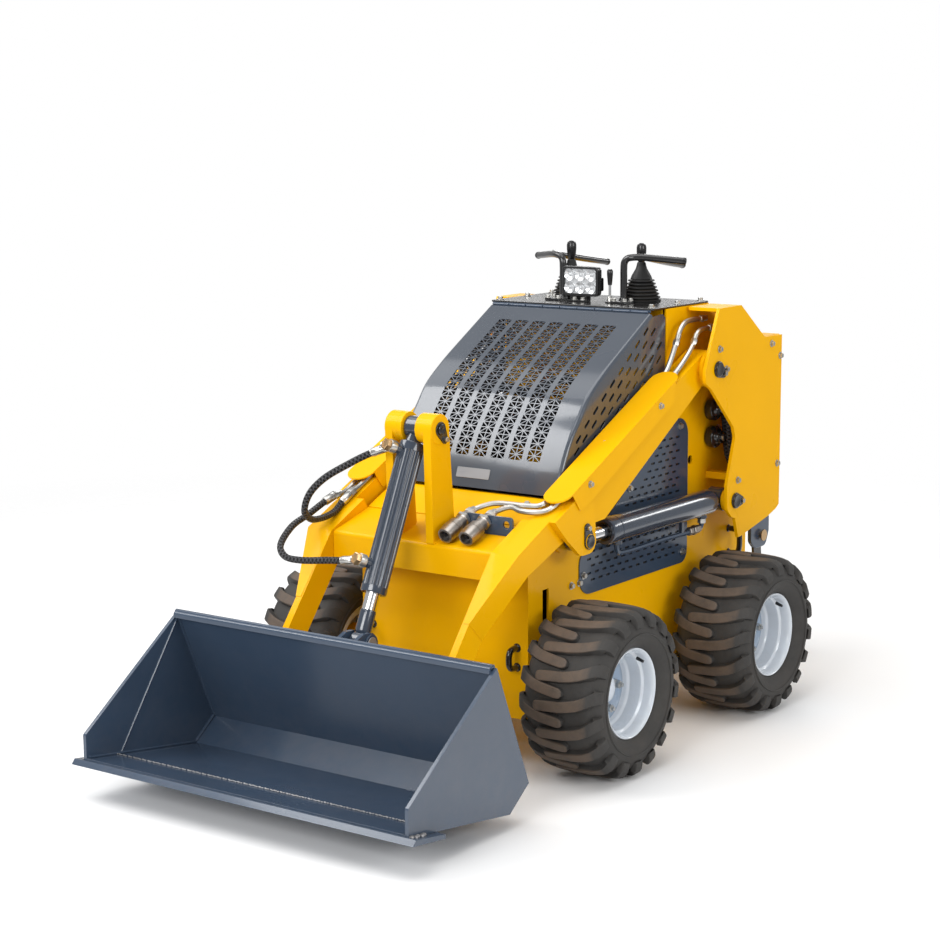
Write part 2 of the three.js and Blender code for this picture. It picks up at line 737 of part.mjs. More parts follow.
const tilt = along(tiltTop, tiltEye);
const tiltPoint = (d) => [0, tiltTop[0] + tilt.unit.x * d, tiltTop[1] + tilt.unit.y * d];

const tiltPorts = [70, 375];
const tiltSide = [tilt.unit.y, -tilt.unit.x];       // square to the cylinder, forward and up
const offTilt = (d, x, off) => {
  const [, y, z] = tiltPoint(d);
  return [x, y + tiltSide[0] * off, z + tiltSide[1] * off];
};

function tiltBarrel() {
  const port = (d) => bar(offTilt(d, -12, 24), offTilt(d, -28, 66), 13, 13, 12);
  const barrel = join(
    bar(tiltPoint(45), tiltPoint(tiltBarrelLength), tiltBarrelRadius),
    barX(tiltTop, 30, 2 - uprightInner, uprightInner - 2),
    bar(tiltPoint(14), tiltPoint(49), 16, 20),
    ...tiltPorts.map(port),
  );
  const bore = bar(tiltPoint(95), tiltPoint(tiltBarrelLength + 10), tiltRodRadius + seatGap);
  const pinBore = barX(tiltTop, tiltPinRadius + pinGap, -60, 60, 16);
  return cut(barrel, bore, pinBore);
}

add(machine, 'tilt_barrel', tiltBarrel(), slate());

add(machine, 'tilt_rod', cut(
  join(
    bar(tiltPoint(134), tiltPoint(tilt.length - 16), tiltRodRadius),
    bar(tiltPoint(490), tiltPoint(tilt.length - 14), 21),
    barX(tiltEye, 25, -tiltEyeWidth / 2, tiltEyeWidth / 2),
  ),
  barX(tiltEye, 18, -40, 40, 16),
), chrome());

// ---------------------------------------------------------------- hoses

const hoseRadius = 9.5;

const hose = (points) => tube(points, hoseRadius, 24, 6);

add(machine, 'hose_upper', hose([
  [-44, -652, 846], [-90, -672, 826], [-130, -694, 803], [-196, -725, 759], [-232, -739, 718],
  [-255, -732, 672], [-275, -680, 638], [-292, -571, 637], [-301, -520, 658], [-301, -486, 676],
]), rubber());
add(machine, 'hose_lower', hose([
  [-46, -782, 572], [-85, -786, 568], [-130, -790, 564], [-215, -804, 557], [-261, -805, 561],
  [-289, -792, 580], [-312, -721, 619], [-324, -633, 640], [-329, -560, 662], [-329, -522, 672.6],
]), rubber());

// ---------------------------------------------------------------- bucket

const bucketSide = [
  [-953, 411], [-1299, 162, 8], [-1299, 95], [-903, 40], [-822, 98],
];

function bucket() {
  const t = bucketSheet;
  const skin = bucketHalf - 10;
  const shell = cut(
    slabX(bucketSide, -bucketHalf, bucketHalf),
    slabX([
      [-953 - t, 411 - 4], [-953 - t, 500], [-1400, 500], [-1400, 109 + t],
      [-905, 40 + t], [-822 - t - 2, 98 + 3],
    ], -skin, skin),
    slabX([[-953, 411.5], [-1299, 162.5], [-1400, 90], [-1400, 500], [-953, 500]],
      -bucketHalf - 5, bucketHalf + 5),
  );
  const lip = slabX([
    [-972, 399], [-972, 415, 6], [-950, 415, 6], [-944, 399],
  ], -skin - 1, skin + 1);
  const blade = slabX([
    [-1317, 84], [-1306, 97], [-1195, 80], [-1195, 69],
  ], -bladeHalf, bladeHalf);
  const pieces = [shell, lip, blade];
  const ear = [
    [-922, 330], [-860, 180], [-847, 150], [bucketPivot[0] + 24, bucketPivot[1] - 38, 24],
    [bucketPivot[0] + 42, bucketPivot[1] + 20, 30], [bucketPivot[0] - 10, bucketPivot[1] + 52, 24],
  ];
  const lug = [
    [-939, 370], [-889, 250], [-850, 290], [tiltEye[0] + 22, tiltEye[1] - 26, 20],
    [tiltEye[0] + 26, tiltEye[1] + 26, 24], [tiltEye[0] - 26, tiltEye[1] + 29, 24],
  ];
  for (const s of [1, -1]) {
    pieces.push(slabX(ear, s * 235, s * 252), slabX(ear, s * 288, s * 300));
    pieces.push(barX(bucketPivot, bucketPinRadius, s * 236, s * 306, 16));
    pieces.push(slabX(lug, s * 21, s * 33));
  }
  return join(...pieces);
}

add(machine, 'bucket', bucket(), slate());

// ---------------------------------------------------------------- operator's platform

const platformPin = [795, 414];
const lugSpan = [254, 266];

function platformBracket() {
  const [inner, outer] = lugSpan;
  const wall = rearFace + seatGap;
  const lug = [
    [wall, 560], [wall, 450], [734, 450, 10], [734, 400, 20], [762, 376, 20], [828, 376, 24],
    [848, 420], [848, 470, 30], [760, 560, 20],
  ];
  return join(
    slabX(lug, inner, outer), slabX(lug, -inner, -outer),
    block(-inner - 1, inner + 1, wall, wall + 12, 470, 550),
    barX(platformPin, 12, -outer - 8, -inner + 14, 12), barX(platformPin, 12, inner - 14, outer + 8, 12),
  );
}

add(machine, 'platform_bracket', platformBracket(), slate());

function platform() {
  const boardTop = 230;
  const boardEnd = 1040;
  const [pinY, pinZ] = platformPin;
  const half = lugSpan[0] - 3;
  const cheek = [
    [pinY - 24, pinZ + 24, 20], [pinY + 24, pinZ + 24, 20], [pinY + 44, boardTop + 30, 20],
    [boardEnd, boardTop], [boardEnd, boardTop - 30, 8], [pinY + 10, boardTop - 30, 12],
  ];
  const pieces = [block(-half + 2, half - 2, pinY + 40, boardEnd - 1, boardTop - 6, boardTop)];
  for (const s of [1, -1]) {
    const bore = barX(platformPin, 12 + pinGap, s * 200, s * 300, 12);
    pieces.push(cut(slabX(cheek, s * (half - 8), s * half), bore));
  }
  return join(...pieces);
}

add(machine, 'platform', platform(), black());

// ---------------------------------------------------------------- place on the ground

const extent = new THREE.Box3().setFromObject(machine);
machine.position.set(0, -(extent.min.y + extent.max.y) / 2, -extent.min.z);

export default machine;
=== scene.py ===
"""Compact stand-on skid steer loader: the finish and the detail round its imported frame."""

import json
import math

import bpy
from mathutils import Matrix, Vector


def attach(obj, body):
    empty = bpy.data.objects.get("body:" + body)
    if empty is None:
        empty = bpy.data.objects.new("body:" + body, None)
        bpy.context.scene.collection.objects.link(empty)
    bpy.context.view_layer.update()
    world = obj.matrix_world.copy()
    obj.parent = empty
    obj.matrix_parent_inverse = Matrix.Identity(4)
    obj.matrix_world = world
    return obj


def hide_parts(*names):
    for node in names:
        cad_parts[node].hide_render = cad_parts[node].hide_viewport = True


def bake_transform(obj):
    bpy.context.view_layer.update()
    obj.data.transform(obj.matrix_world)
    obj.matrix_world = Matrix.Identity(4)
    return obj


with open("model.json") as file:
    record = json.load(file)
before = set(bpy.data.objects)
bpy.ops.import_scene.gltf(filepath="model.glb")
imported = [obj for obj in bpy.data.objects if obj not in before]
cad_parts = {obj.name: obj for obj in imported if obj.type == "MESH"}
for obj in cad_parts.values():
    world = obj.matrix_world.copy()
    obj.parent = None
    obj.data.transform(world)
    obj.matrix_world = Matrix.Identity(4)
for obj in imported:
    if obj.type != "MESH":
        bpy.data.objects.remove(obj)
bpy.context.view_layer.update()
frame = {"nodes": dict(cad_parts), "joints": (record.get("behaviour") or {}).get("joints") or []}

bl_info = {
    "name": "Skid Steer Loader",
    "version": (1, 0, 0),
    "blender": (4, 5, 0),
    "location": "3D View > Sidebar > Loader",
    "description": "Builds the pieces and the finish of a compact stand-on loader",
    "category": "Object",
}

# The machine's own zero: on the ground, in the middle between the axles.
AXLES = {j["name"]: Vector(j["pos_m"]) for j in frame["joints"] if j.get("continuous")}
FRONT_AXLE = AXLES["wheel_front_left_spin"]
REAR_AXLE = AXLES["wheel_rear_left_spin"]
ZERO_Y = (FRONT_AXLE.y + REAR_AXLE.y) / 2
AXLE_HEIGHT = 0.222
ZERO_Z = FRONT_AXLE.z - AXLE_HEIGHT
SIDES = (("left", 1), ("right", -1))
X_AXIS, Y_AXIS, Z_AXIS = (1, 0, 0), (0, 1, 0), (0, 0, 1)
MM = 0.001

# Places in millimetres from that zero; pins as (y, z).
PIVOT = (313, 978)
LIFT_BASE, LIFT_EYE = (423, 588), (-322, 591)
TILT_TOP, TILT_EYE = (-580, 893), (-825, 375)
BUCKET_PIN = (-805, 200)
PLATFORM_PIN = (795, 414)
LIFT_X = 324            # middle of a left lift cylinder
WALL_X = 273.2          # outer face of a side wall
TOWER_X = 381           # outer face of a tower
DECK_Z = 1156.2         # top of the console's plate
CONTROLS_Z = 1156.5     # foot of what stands on the plate


def at(x, y, z):
    """A point given in millimetres from the machine's own zero."""
    return Vector((x / 1000, y / 1000 + ZERO_Y, z / 1000 + ZERO_Z))


# ---------------------------------------------------------------- sizes and colours

def length(name, text, default, low=0.0, high=2.0):
    """A length for the panel, in metres."""
    return bpy.props.FloatProperty(
        name=name, description=text, default=default, min=low, max=high, unit="LENGTH",
        precision=4)


def colour(name, text, default):
    """A colour for the panel."""
    return bpy.props.FloatVectorProperty(
        name=name, description=text, default=default, min=0, max=1, size=3, subtype="COLOR")


class LoaderSizes(bpy.types.PropertyGroup):
    edge: length("Plate edge", "Rounding on the edges of cut plates", 0.0016, 0.0002, 0.01)
    sheet: length("Sheet", "Thickness of the folded covers", 0.003, 0.001, 0.01)
    grille_bar: length("Grille bar", "Width of the bars between the hood's openings", 0.0027, 0.001, 0.01)
    lugs: bpy.props.IntProperty(
        name="Lugs", description="Tread lugs on each side of a tyre", default=18, min=8, max=30)
    hose_radius: length("Hose radius", "Half the thickness of a hydraulic hose", 0.0092, 0.004, 0.02)
    pipe_radius: length("Pipe radius", "Half the thickness of a steel pipe", 0.0074, 0.003, 0.02)


class LoaderColours(bpy.types.PropertyGroup):
    yellow: colour("Yellow", "Frame and arms", (0.86, 0.435, 0.0008))
    slate: colour("Slate", "Bucket, hood and covers", (0.04, 0.063, 0.102))
    black: colour("Black", "Handles and small brackets", (0.012, 0.012, 0.013))
    rim: colour("Rim", "Painted steel rims", (0.7, 0.75, 0.81))
    rubber: colour("Rubber", "Tyres", (0.03, 0.0285, 0.027))
    dust: colour("Dust", "Dry soil on tyres and low plates", (0.3, 0.22, 0.15))


def sizes():
    return bpy.context.scene.loader_sizes


def colours():
    return bpy.context.scene.loader_colours


# ---------------------------------------------------------------- finishes

GROUPS = {}
FINISHES = {}


def node(tree, kind, **values):
    """Adds a shader node and sets its options."""
    made = tree.nodes.new(kind)
    for key, value in values.items():
        setattr(made, key, value)
    return made


def socket(group, name, way, kind="NodeSocketFloat", default=None):
    """Adds an input or output to a node group."""
    made = group.interface.new_socket(name=name, in_out=way, socket_type=kind)
    if default is not None:
        made.default_value = default


def noise(tree, vector, scale, detail=3.0, rough=0.55):
    """A noise texture's value."""
    made = node(tree, "ShaderNodeTexNoise")
    for name, number in (("Scale", scale), ("Detail", detail), ("Roughness", rough)):
        made.inputs[name].default_value = number
    tree.links.new(vector, made.inputs["Vector"])
    return made.outputs["Fac"]


def span(tree, value, low, high, to_low=0.0, to_high=1.0):
    """Maps one range of a value to another."""
    made = node(tree, "ShaderNodeMapRange")
    for name, number in (("From Min", low), ("From Max", high), ("To Min", to_low), ("To Max", to_high)):
        made.inputs[name].default_value = number
    tree.links.new(value, made.inputs["Value"])
    return made.outputs["Result"]


def feed(tree, value, entry):
    """Sets a number or a colour, or links an output."""
    if isinstance(value, (int, float, tuple)):
        entry.default_value = value
    else:
        tree.links.new(value, entry)


def maths(tree, operation, first, second=None, third=None):
    """One sum on numbers or outputs."""
    made = node(tree, "ShaderNodeMath", operation=operation)
    for i, value in enumerate((first, second, third)):
        if value is not None:
            feed(tree, value, made.inputs[i])
    return made.outputs[0]


def blend_colour(tree, factor, first, second):
    """A mix of two colours by a factor."""
    made = node(tree, "ShaderNodeMix", data_type="RGBA")
    for i, value in ((0, factor), (6, first), (7, second)):
        feed(tree, value, made.inputs[i])
    return made.outputs[2]


def rgba(c, k=1.0):
    """A colour times k, with full alpha."""
    return (c[0] * k, c[1] * k, c[2] * k, 1.0)


def weather_group():
    """Slow tone, dust that settles low and on top faces, and fine grain, over a surface."""
    if "weather" in GROUPS:
        return GROUPS["weather"]
    group = bpy.data.node_groups.new("Weather", "ShaderNodeTree")
    socket(group, "Vector", "INPUT", "NodeSocketVector")
    socket(group, "Grain scale", "INPUT", default=900.0)
    socket(group, "Dust level", "INPUT", default=0.2)
    socket(group, "Dust on top", "INPUT", default=0.2)
    for name in ("Tone", "Dust", "Scratch", "Height"):
        socket(group, name, "OUTPUT")
    inside = node(group, "NodeGroupInput")
    outside = node(group, "NodeGroupOutput")
    vector = inside.outputs["Vector"]
    slow = noise(group, vector, 3.2, 4.0)
    patch = noise(group, vector, 17.0, 6.0, 0.65)
    fine = node(group, "ShaderNodeTexNoise")
    fine.inputs["Detail"].default_value = 2.0
    group.links.new(vector, fine.inputs["Vector"])
    group.links.new(inside.outputs["Grain scale"], fine.inputs["Scale"])
    place = node(group, "ShaderNodeSeparateXYZ")
    group.links.new(vector, place.inputs[0])
    geometry = node(group, "ShaderNodeNewGeometry")
    facing = node(group, "ShaderNodeSeparateXYZ")
    group.links.new(geometry.outputs["Normal"], facing.inputs[0])
    low = maths(group, "MULTIPLY", span(group, place.outputs[2], 0.45, 0.05), inside.outputs["Dust level"])
    top = maths(group, "MULTIPLY", span(group, facing.outputs[2], 0.55, 1.0), inside.outputs["Dust on top"])
    both = maths(group, "ADD", low, top)
    spots = span(group, patch, 0.38, 0.68)
    dust = maths(group, "MULTIPLY", both, spots)
    stretch = node(group, "ShaderNodeMapping")
    stretch.inputs["Rotation"].default_value = (0.5, 0.9, 0.3)
    stretch.inputs["Scale"].default_value = (18.0, 260.0, 260.0)
    group.links.new(vector, stretch.inputs["Vector"])
    lines = noise(group, stretch.outputs[0], 1.0, 3.0)
    scratch = span(group, lines, 0.72, 0.8)
    group.links.new(span(group, slow, 0.3, 0.7), outside.inputs["Tone"])
    group.links.new(dust, outside.inputs["Dust"])
    group.links.new(maths(group, "MULTIPLY", scratch, spots), outside.inputs["Scratch"])
    group.links.new(fine.outputs["Fac"], outside.inputs["Height"])
    GROUPS["weather"] = group
    return group


def start_finish(name, metallic=0.0, rough=0.4, coat=0.0, coat_rough=0.1, shine=0.35):
    """A new finish: itself, its tree, its shader and the piece's own coordinates."""
    finish = bpy.data.materials.new(name)
    finish.use_nodes = True
    tree = finish.node_tree
    shader = tree.nodes["Principled BSDF"]
    for key, value in (("Metallic", metallic), ("Roughness", rough), ("Coat Weight", coat),
                       ("Coat Roughness", coat_rough), ("Specular IOR Level", shine)):
        shader.inputs[key].default_value = value
    place = node(tree, "ShaderNodeTexCoord")
    return finish, tree, shader, place.outputs["Object"]


def weather(tree, vector, grain, level, top):
    """The outputs of the shared weather group."""
    made = node(tree, "ShaderNodeGroup", node_tree=weather_group())
    for key, value in (("Grain scale", grain), ("Dust level", level), ("Dust on top", top)):
        made.inputs[key].default_value = value
    tree.links.new(vector, made.inputs["Vector"])
    return made.outputs


def bump(tree, shader, height, strength, distance):
    """Feeds a height into the shader's normal."""
    made = node(tree, "ShaderNodeBump")
    made.inputs["Strength"].default_value = strength
    made.inputs["Distance"].default_value = distance
    tree.links.new(height, made.inputs["Height"])
    tree.links.new(made.outputs[0], shader.inputs["Normal"])


def paint_finish(name, base, rough, coat, grain, orange_peel, level, top, shade, shine=0.35):
    """Sprayed enamel: slow tone, orange peel, settled dust and a few light scratches."""
    finish, tree, shader, vector = start_finish(name, 0.0, rough, coat, 0.1, shine)
    parts = weather(tree, vector, grain, level, top)
    skin = blend_colour(tree, parts["Tone"], rgba(base, shade), rgba(base))
    pale = tuple(min(1.0, c * 1.3 + 0.01) for c in base)
    skin = blend_colour(tree, maths(tree, "MULTIPLY", parts["Scratch"], 0.1), skin, rgba(pale))
    skin = blend_colour(tree, parts["Dust"], skin, rgba(colours().dust))
    tree.links.new(skin, shader.inputs["Base Color"])
    tone = span(tree, parts["Tone"], 0.0, 1.0, rough * 0.85, rough * 1.15)
    dull = maths(tree, "MULTIPLY_ADD", parts["Dust"], 0.5, tone)
    tree.links.new(dull, shader.inputs["Roughness"])
    bump(tree, shader, parts["Height"], orange_peel, 0.0006)
    return finish


def metal_finish(name, base, rough, grain, rub, metallic=1.0, stain=0.25):
    """Bare or plated metal, slowly stained, with fine grain."""
    finish, tree, shader, vector = start_finish(name, metallic, rough)
    parts = weather(tree, vector, grain, 0.15, 0.05)
    skin = blend_colour(tree, parts["Tone"], rgba(base, 1 - stain), rgba(base))
    skin = blend_colour(tree, parts["Dust"], skin, rgba(colours().dust))
    tree.links.new(skin, shader.inputs["Base Color"])
    tone = maths(tree, "MULTIPLY_ADD", parts["Scratch"], 0.12,
                 span(tree, parts["Tone"], 0, 1, rough * 0.8, rough * 1.2))
    tree.links.new(tone, shader.inputs["Roughness"])
    bump(tree, shader, parts["Height"], rub, 0.0004)
    return finish


SOIL = (0.125, 0.09, 0.066, 1.0)


def tyre_finish():
    """Near-black rubber with dry soil in the tread and rubbed brown lug tops."""
    finish, tree, shader, vector = start_finish("Tyre rubber", 0.0, 0.72)
    worn = node(tree, "ShaderNodeAttribute", attribute_name="reach")
    parts = weather(tree, vector, 420.0, 0.5, 0.2)
    patch = noise(tree, vector, 26.0, 6.0, 0.7)
    rubbed = maths(tree, "MULTIPLY", span(tree, worn.outputs["Fac"], 0.78, 0.92),
                   span(tree, patch, 0.2, 0.6, 0.35, 1.0))
    skin = blend_colour(tree, span(tree, patch, 0.35, 0.75), rgba(colours().rubber),
                        rgba(colours().rubber, 1.7))
    skin = blend_colour(tree, maths(tree, "MULTIPLY", rubbed, 0.85), skin, SOIL)
    skin = blend_colour(tree, maths(tree, "MULTIPLY", parts["Dust"], 0.12), skin, rgba(colours().dust, 0.6))
    tree.links.new(skin, shader.inputs["Base Color"])
    tree.links.new(span(tree, patch, 0.3, 0.8, 0.55, 0.85), shader.inputs["Roughness"])
    bump(tree, shader, maths(tree, "ADD", parts["Height"], patch), 0.35, 0.0012)
    return finish


STRANDS_ALONG, STRANDS_ABOUT = 560.0, 18.8496      # radians per metre, and once round


def hose_finish():
    """Black braided sleeve: crossing strands that follow the hose."""
    finish, tree, shader, _ = start_finish("Braided hose", 0.0, 0.5)
    strands = node(tree, "ShaderNodeUVMap", uv_map="along")
    split = node(tree, "ShaderNodeSeparateXYZ")
    tree.links.new(strands.outputs[0], split.inputs[0])
    along = maths(tree, "MULTIPLY", split.outputs[0], STRANDS_ALONG)
    about = maths(tree, "MULTIPLY", split.outputs[1], STRANDS_ABOUT)
    one, two = (maths(tree, "SINE", maths(tree, way, along, about)) for way in ("ADD", "SUBTRACT"))
    weave = maths(tree, "MAXIMUM", one, two)
    tree.links.new(blend_colour(tree, span(tree, weave, 0.2, 1.0), (0.003, 0.003, 0.003, 1),
                                (0.055, 0.055, 0.06, 1)), shader.inputs["Base Color"])
    tree.links.new(span(tree, weave, -1.0, 1.0, 0.75, 0.38), shader.inputs["Roughness"])
    bump(tree, shader, weave, 0.9, 0.0016)
    return finish


def lens_finish():
    """Silvered plastic with small facets."""
    finish, tree, shader, vector = start_finish("Lamp reflector", 0.0, 0.12, 0.6)
    patch = noise(tree, vector, 300.0, 2.0)
    tree.links.new(blend_colour(tree, patch, (0.62, 0.64, 0.66, 1), (0.86, 0.87, 0.88, 1)),
                   shader.inputs["Base Color"])
    tree.links.new(span(tree, patch, 0.2, 0.8, 0.08, 0.25), shader.inputs["Roughness"])
    tree.links.new(span(tree, patch, 0.2, 0.8, 0.3, 0.8), shader.inputs["Metallic"])
    bump(tree, shader, patch, 0.3, 0.001)
    return finish


def floor_finish():
    """Pale floor that runs out into the pale surroundings."""
    finish, tree, shader, vector = start_finish("Studio floor", 0.0, 0.8)
    patch = noise(tree, vector, 2.0, 3.0)
    tree.links.new(blend_colour(tree, patch, (0.87, 0.87, 0.87, 1), (0.9, 0.9, 0.9, 1)),
                   shader.inputs["Base Color"])
    reach = node(tree, "ShaderNodeVectorMath", operation="LENGTH")
    tree.links.new(vector, reach.inputs[0])
    tree.links.new(span(tree, reach.outputs["Value"], 1.6, 4.6, 1.0, 0.0), shader.inputs["Alpha"])
    return finish


def paints():
    """Title, colour, roughness, coat, grain, orange peel, dust low, dust on top, shade, shine."""
    c = colours()
    hood = tuple(0.5 * k + 0.03 for k in c.slate)
    # the disc colour is the rim colour made darker and bluer: painted shade for the deep disc, which sits in
    # shade inside the rim
    disc = tuple(k * f for k, f in zip(c.rim, (0.44, 0.53, 0.64)))
    return {
        "yellow": ("Yellow enamel", tuple(c.yellow), 0.3, 0.09, 600.0, 0.05, 0.06, 0.0, 0.94, 0.06),
        "slate": ("Slate enamel", tuple(c.slate), 0.24, 0.6, 800.0, 0.04, 0.04, 0.0, 0.9),
        "cylinder": ("Dark cylinder enamel", (0.028, 0.04, 0.062), 0.2, 0.9, 800.0, 0.03, 0.03, 0.0, 0.9),
        "slate_hood": ("Slate hood enamel", hood, 0.27, 1.0, 800.0, 0.04, 0.0, 0.0, 0.92),
        "black": ("Black enamel", tuple(c.black), 0.22, 0.7, 900.0, 0.04, 0.1, 0.04, 0.8),
        "iron": ("Cast iron", (0.022, 0.022, 0.024), 0.6, 0.0, 260.0, 0.5, 0.2, 0.2, 0.7),
        "boot": ("Boot rubber", (0.012, 0.012, 0.012), 0.5, 0.0, 400.0, 0.15, 0.0, 0.1, 0.8),
        "knob": ("Knob plastic", (0.01, 0.01, 0.011), 0.22, 0.2, 900.0, 0.03, 0.0, 0.0, 0.9),
        # painted shade: a darker, bluer copy of the rim enamel for the deep disc
        "disc": ("Wheel disc enamel", disc, 0.24, 0.8, 700.0, 0.04, 0.14, 0.05, 0.92),
        "rim": ("Rim enamel", tuple(c.rim), 0.24, 0.8, 700.0, 0.04, 0.14, 0.05, 0.92),
    }


# title, colour, roughness, grain, height of the grain, metallic, stain
METALS = {
    "steel": ("Plated steel", (0.62, 0.61, 0.58), 0.32, 1400.0, 0.08),
    "nickel": ("Worn nickel", (0.46, 0.42, 0.38), 0.36, 1400.0, 0.12),
    "chrome": ("Hard chrome", (0.8, 0.81, 0.83), 0.1, 1800.0, 0.01, 1.0, 0.08),
    "brass": ("Yellow passivated steel", (0.78, 0.52, 0.27), 0.3, 1400.0, 0.08),
    "bare": ("Ground weld", (0.42, 0.42, 0.43), 0.42, 500.0, 0.5, 0.8, 0.4),
}
OTHERS = {"tyre": tyre_finish, "hose": hose_finish, "lens": lens_finish, "floor": floor_finish}


def finish_of(name):
    """Each finish is made once, from the colours in the panel."""
    if name not in FINISHES:
        if name in METALS:
            FINISHES[name] = metal_finish(*METALS[name])
        elif name in OTHERS:
            FINISHES[name] = OTHERS[name]()
        else:
            FINISHES[name] = paint_finish(*paints()[name])
    return FINISHES[name]


# ---------------------------------------------------------------- bench tools

def deselect():
    """Leaves edit mode and selects nothing."""
    current = bpy.context.view_layer.objects.active
    if current and current.mode != "OBJECT":
        bpy.ops.object.mode_set(mode="OBJECT")
    bpy.ops.object.select_all(action="DESELECT")


def pick(*pieces):
    """Selects pieces; the first is the active one."""
    deselect()
    for piece in pieces:
        piece.select_set(True)
    bpy.context.view_layer.objects.active = pieces[0]


def active():
    return bpy.context.view_layer.objects.active


def edit(piece, select="SELECT"):
    """Opens a piece for editing."""
    pick(piece)
    bpy.ops.object.mode_set(mode="EDIT")
    bpy.ops.mesh.select_all(action=select)


def leave():
    bpy.ops.object.mode_set(mode="OBJECT")


def settle(piece):
    """Applies a piece's place, turn and scale to its mesh."""
    pick(piece)
    bpy.ops.object.transform_apply(location=True, rotation=True, scale=True)
    return piece


def outwards(piece):
    """Closes doubled corners and turns the faces outward."""
    edit(piece)
    bpy.ops.mesh.remove_doubles(threshold=1e-6)
    bpy.ops.mesh.normals_make_consistent(inside=False)
    leave()


def modify(piece, kind, **values):
    """Adds a modifier and applies it."""
    pick(piece)
    made = piece.modifiers.new(kind.title(), kind)
    for key, value in values.items():
        setattr(made, key, value)
    bpy.ops.object.modifier_apply(modifier=made.name)
    return piece


def soften(piece, width=None, segments=2, angle=38):
    """Rounds the sharp edges of a piece."""
    width = sizes().edge if width is None else width
    return modify(piece, "BEVEL", width=width, segments=segments, limit_method="ANGLE",
                  angle_limit=math.radians(angle), use_clamp_overlap=True, miter_outer="MITER_ARC")


def weld_up(pieces):
    """Joins finished bodies into one piece."""
    pick(*pieces)
    if len(pieces) > 1:
        bpy.ops.object.join()
    return active()


def coat(piece, finish):
    """Gives a piece one finish."""
    piece.data.materials.clear()
    piece.data.materials.append(finish_of(finish))
    return piece


SMOOTH = 40      # degrees; sharper edges stay edges


def hand_over(piece, name, body, replaces=(), angle=SMOOTH):
    """Names a finished piece, smooths it and ties it to its body."""
    pick(piece)
    bpy.ops.object.shade_smooth_by_angle(angle=math.radians(angle))
    modify(piece, "WEIGHTED_NORMAL", keep_sharp=True)
    piece.name = piece.data.name = name
    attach(piece, body)
    if replaces:
        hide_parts(*replaces)


def copy_of(piece, matrix):
    """A moved or mirrored copy, its normals still outward."""
    made = piece.copy()
    made.data = piece.data.copy()
    bpy.context.scene.collection.objects.link(made)
    made.data.transform(matrix)
    if matrix.determinant() < 0:
        made.data.flip_normals()
    return made


def copies_of(piece, moves):
    """One copy for each move in metres, in place of the piece itself."""
    made = [copy_of(piece, Matrix.Translation(Vector(move))) for move in moves]
    bpy.data.objects.remove(piece)
    return made


def about(point, matrix):
    """The matrix taken about a point."""
    return Matrix.Translation(point) @ matrix @ Matrix.Translation(-point)


MIRROR = Matrix.Diagonal((-1, 1, 1, 1))


def hand_over_pair(left, name, body, node_name):
    """Hands over a left piece and its mirrored copy; * in a name stands for the side."""
    right = copy_of(left, MIRROR)
    for piece, side in ((left, "left"), (right, "right")):
        hand_over(piece, name.replace("*", side), body.replace("*", side),
                  [node_name.replace("*", side)])


def from_frame(name, finish, edge=None):
    """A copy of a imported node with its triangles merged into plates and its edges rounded."""
    source = frame["nodes"][name]
    made = source.copy()
    made.data = source.data.copy()
    for key in list(made.keys()):
        del made[key]
    made.parent = None
    made.hide_render = made.hide_viewport = False
    bpy.context.scene.collection.objects.link(made)
    edit(made)
    bpy.ops.mesh.remove_doubles(threshold=2e-6)
    bpy.ops.mesh.dissolve_limited(angle_limit=math.radians(0.6))
    leave()
    pick(made)
    bpy.ops.object.shade_flat()
    return coat(soften(made, edge), finish)


def fillet(corners):
    """Corners (u, v, radius) as points, each corner with a radius as an arc."""
    points = []
    n = len(corners)
    for i, corner in enumerate(corners):
        spot = Vector(corner[:2])
        radius = corner[2] if len(corner) > 2 else 0
        if not radius:
            points.append(spot)
            continue
        before = Vector(corners[i - 1][:2]) - spot
        after = Vector(corners[(i + 1) % n][:2]) - spot
        a, b = before.normalized(), after.normalized()
        half = math.acos(max(-1, min(1, a.dot(b)))) / 2
        reach = min(radius / math.tan(half), before.length * 0.48, after.length * 0.48)
        radius = reach * math.tan(half)
        centre = spot + (a + b).normalized() * (radius / math.sin(half))
        start, end = spot + a * reach - centre, spot + b * reach - centre
        turn = start.angle_signed(end)
        steps = max(2, math.ceil(abs(turn) / math.radians(15)))
        for k in range(steps + 1):
            c, s = math.cos(-turn * k / steps), math.sin(-turn * k / steps)
            points.append(centre + Vector((start.x * c - start.y * s, start.x * s + start.y * c)))
    return points


def rectangle(u0, v0, u1, v1, radius=0):
    """A plate's four corners, all with one radius."""
    return [(u, v, radius) for u, v in ((u0, v0), (u1, v0), (u1, v1), (u0, v1))]


PLACES = {
    "x": lambda d, p: at(d, p[0], p[1]),
    "y": lambda d, p: at(p[0], d, p[1]),
    "z": lambda d, p: at(p[0], p[1], d),
}


def plate(corners, axis, start, end, edge=None, segments=2, finish=None):
    """A cut plate: its outline is a round of the right number of corners, extruded."""
    points = fillet(corners)
    deselect()
    bpy.ops.mesh.primitive_circle_add(vertices=len(points), radius=0.1, fill_type="NGON")
    made = active()
    for vertex, point in zip(made.data.vertices, points):
        vertex.co = PLACES[axis](start, point)
    made.data.update()
    edit(made)
    move = PLACES[axis](end, (0, 0)) - PLACES[axis](start, (0, 0))
    bpy.ops.mesh.extrude_region_move(TRANSFORM_OT_translate={"value": move})
    leave()
    outwards(made)
    if edge != 0:
        soften(made, edge, segments)
    if finish:
        coat(made, finish)
    return made


def brick(low, high, edge, segments, finish):
    """A bar or block between two corners."""
    a, b = at(*low), at(*high)
    return block((a + b) / 2, tuple(abs(v) for v in (b - a)), edge, segments, finish)


def block(centre, dims, edge, segments, finish):
    """A bar or block about its middle, in metres."""
    deselect()
    bpy.ops.mesh.primitive_cube_add(size=1, location=centre)
    made = active()
    made.scale = dims
    settle(made)
    return coat(soften(made, edge, segments), finish)


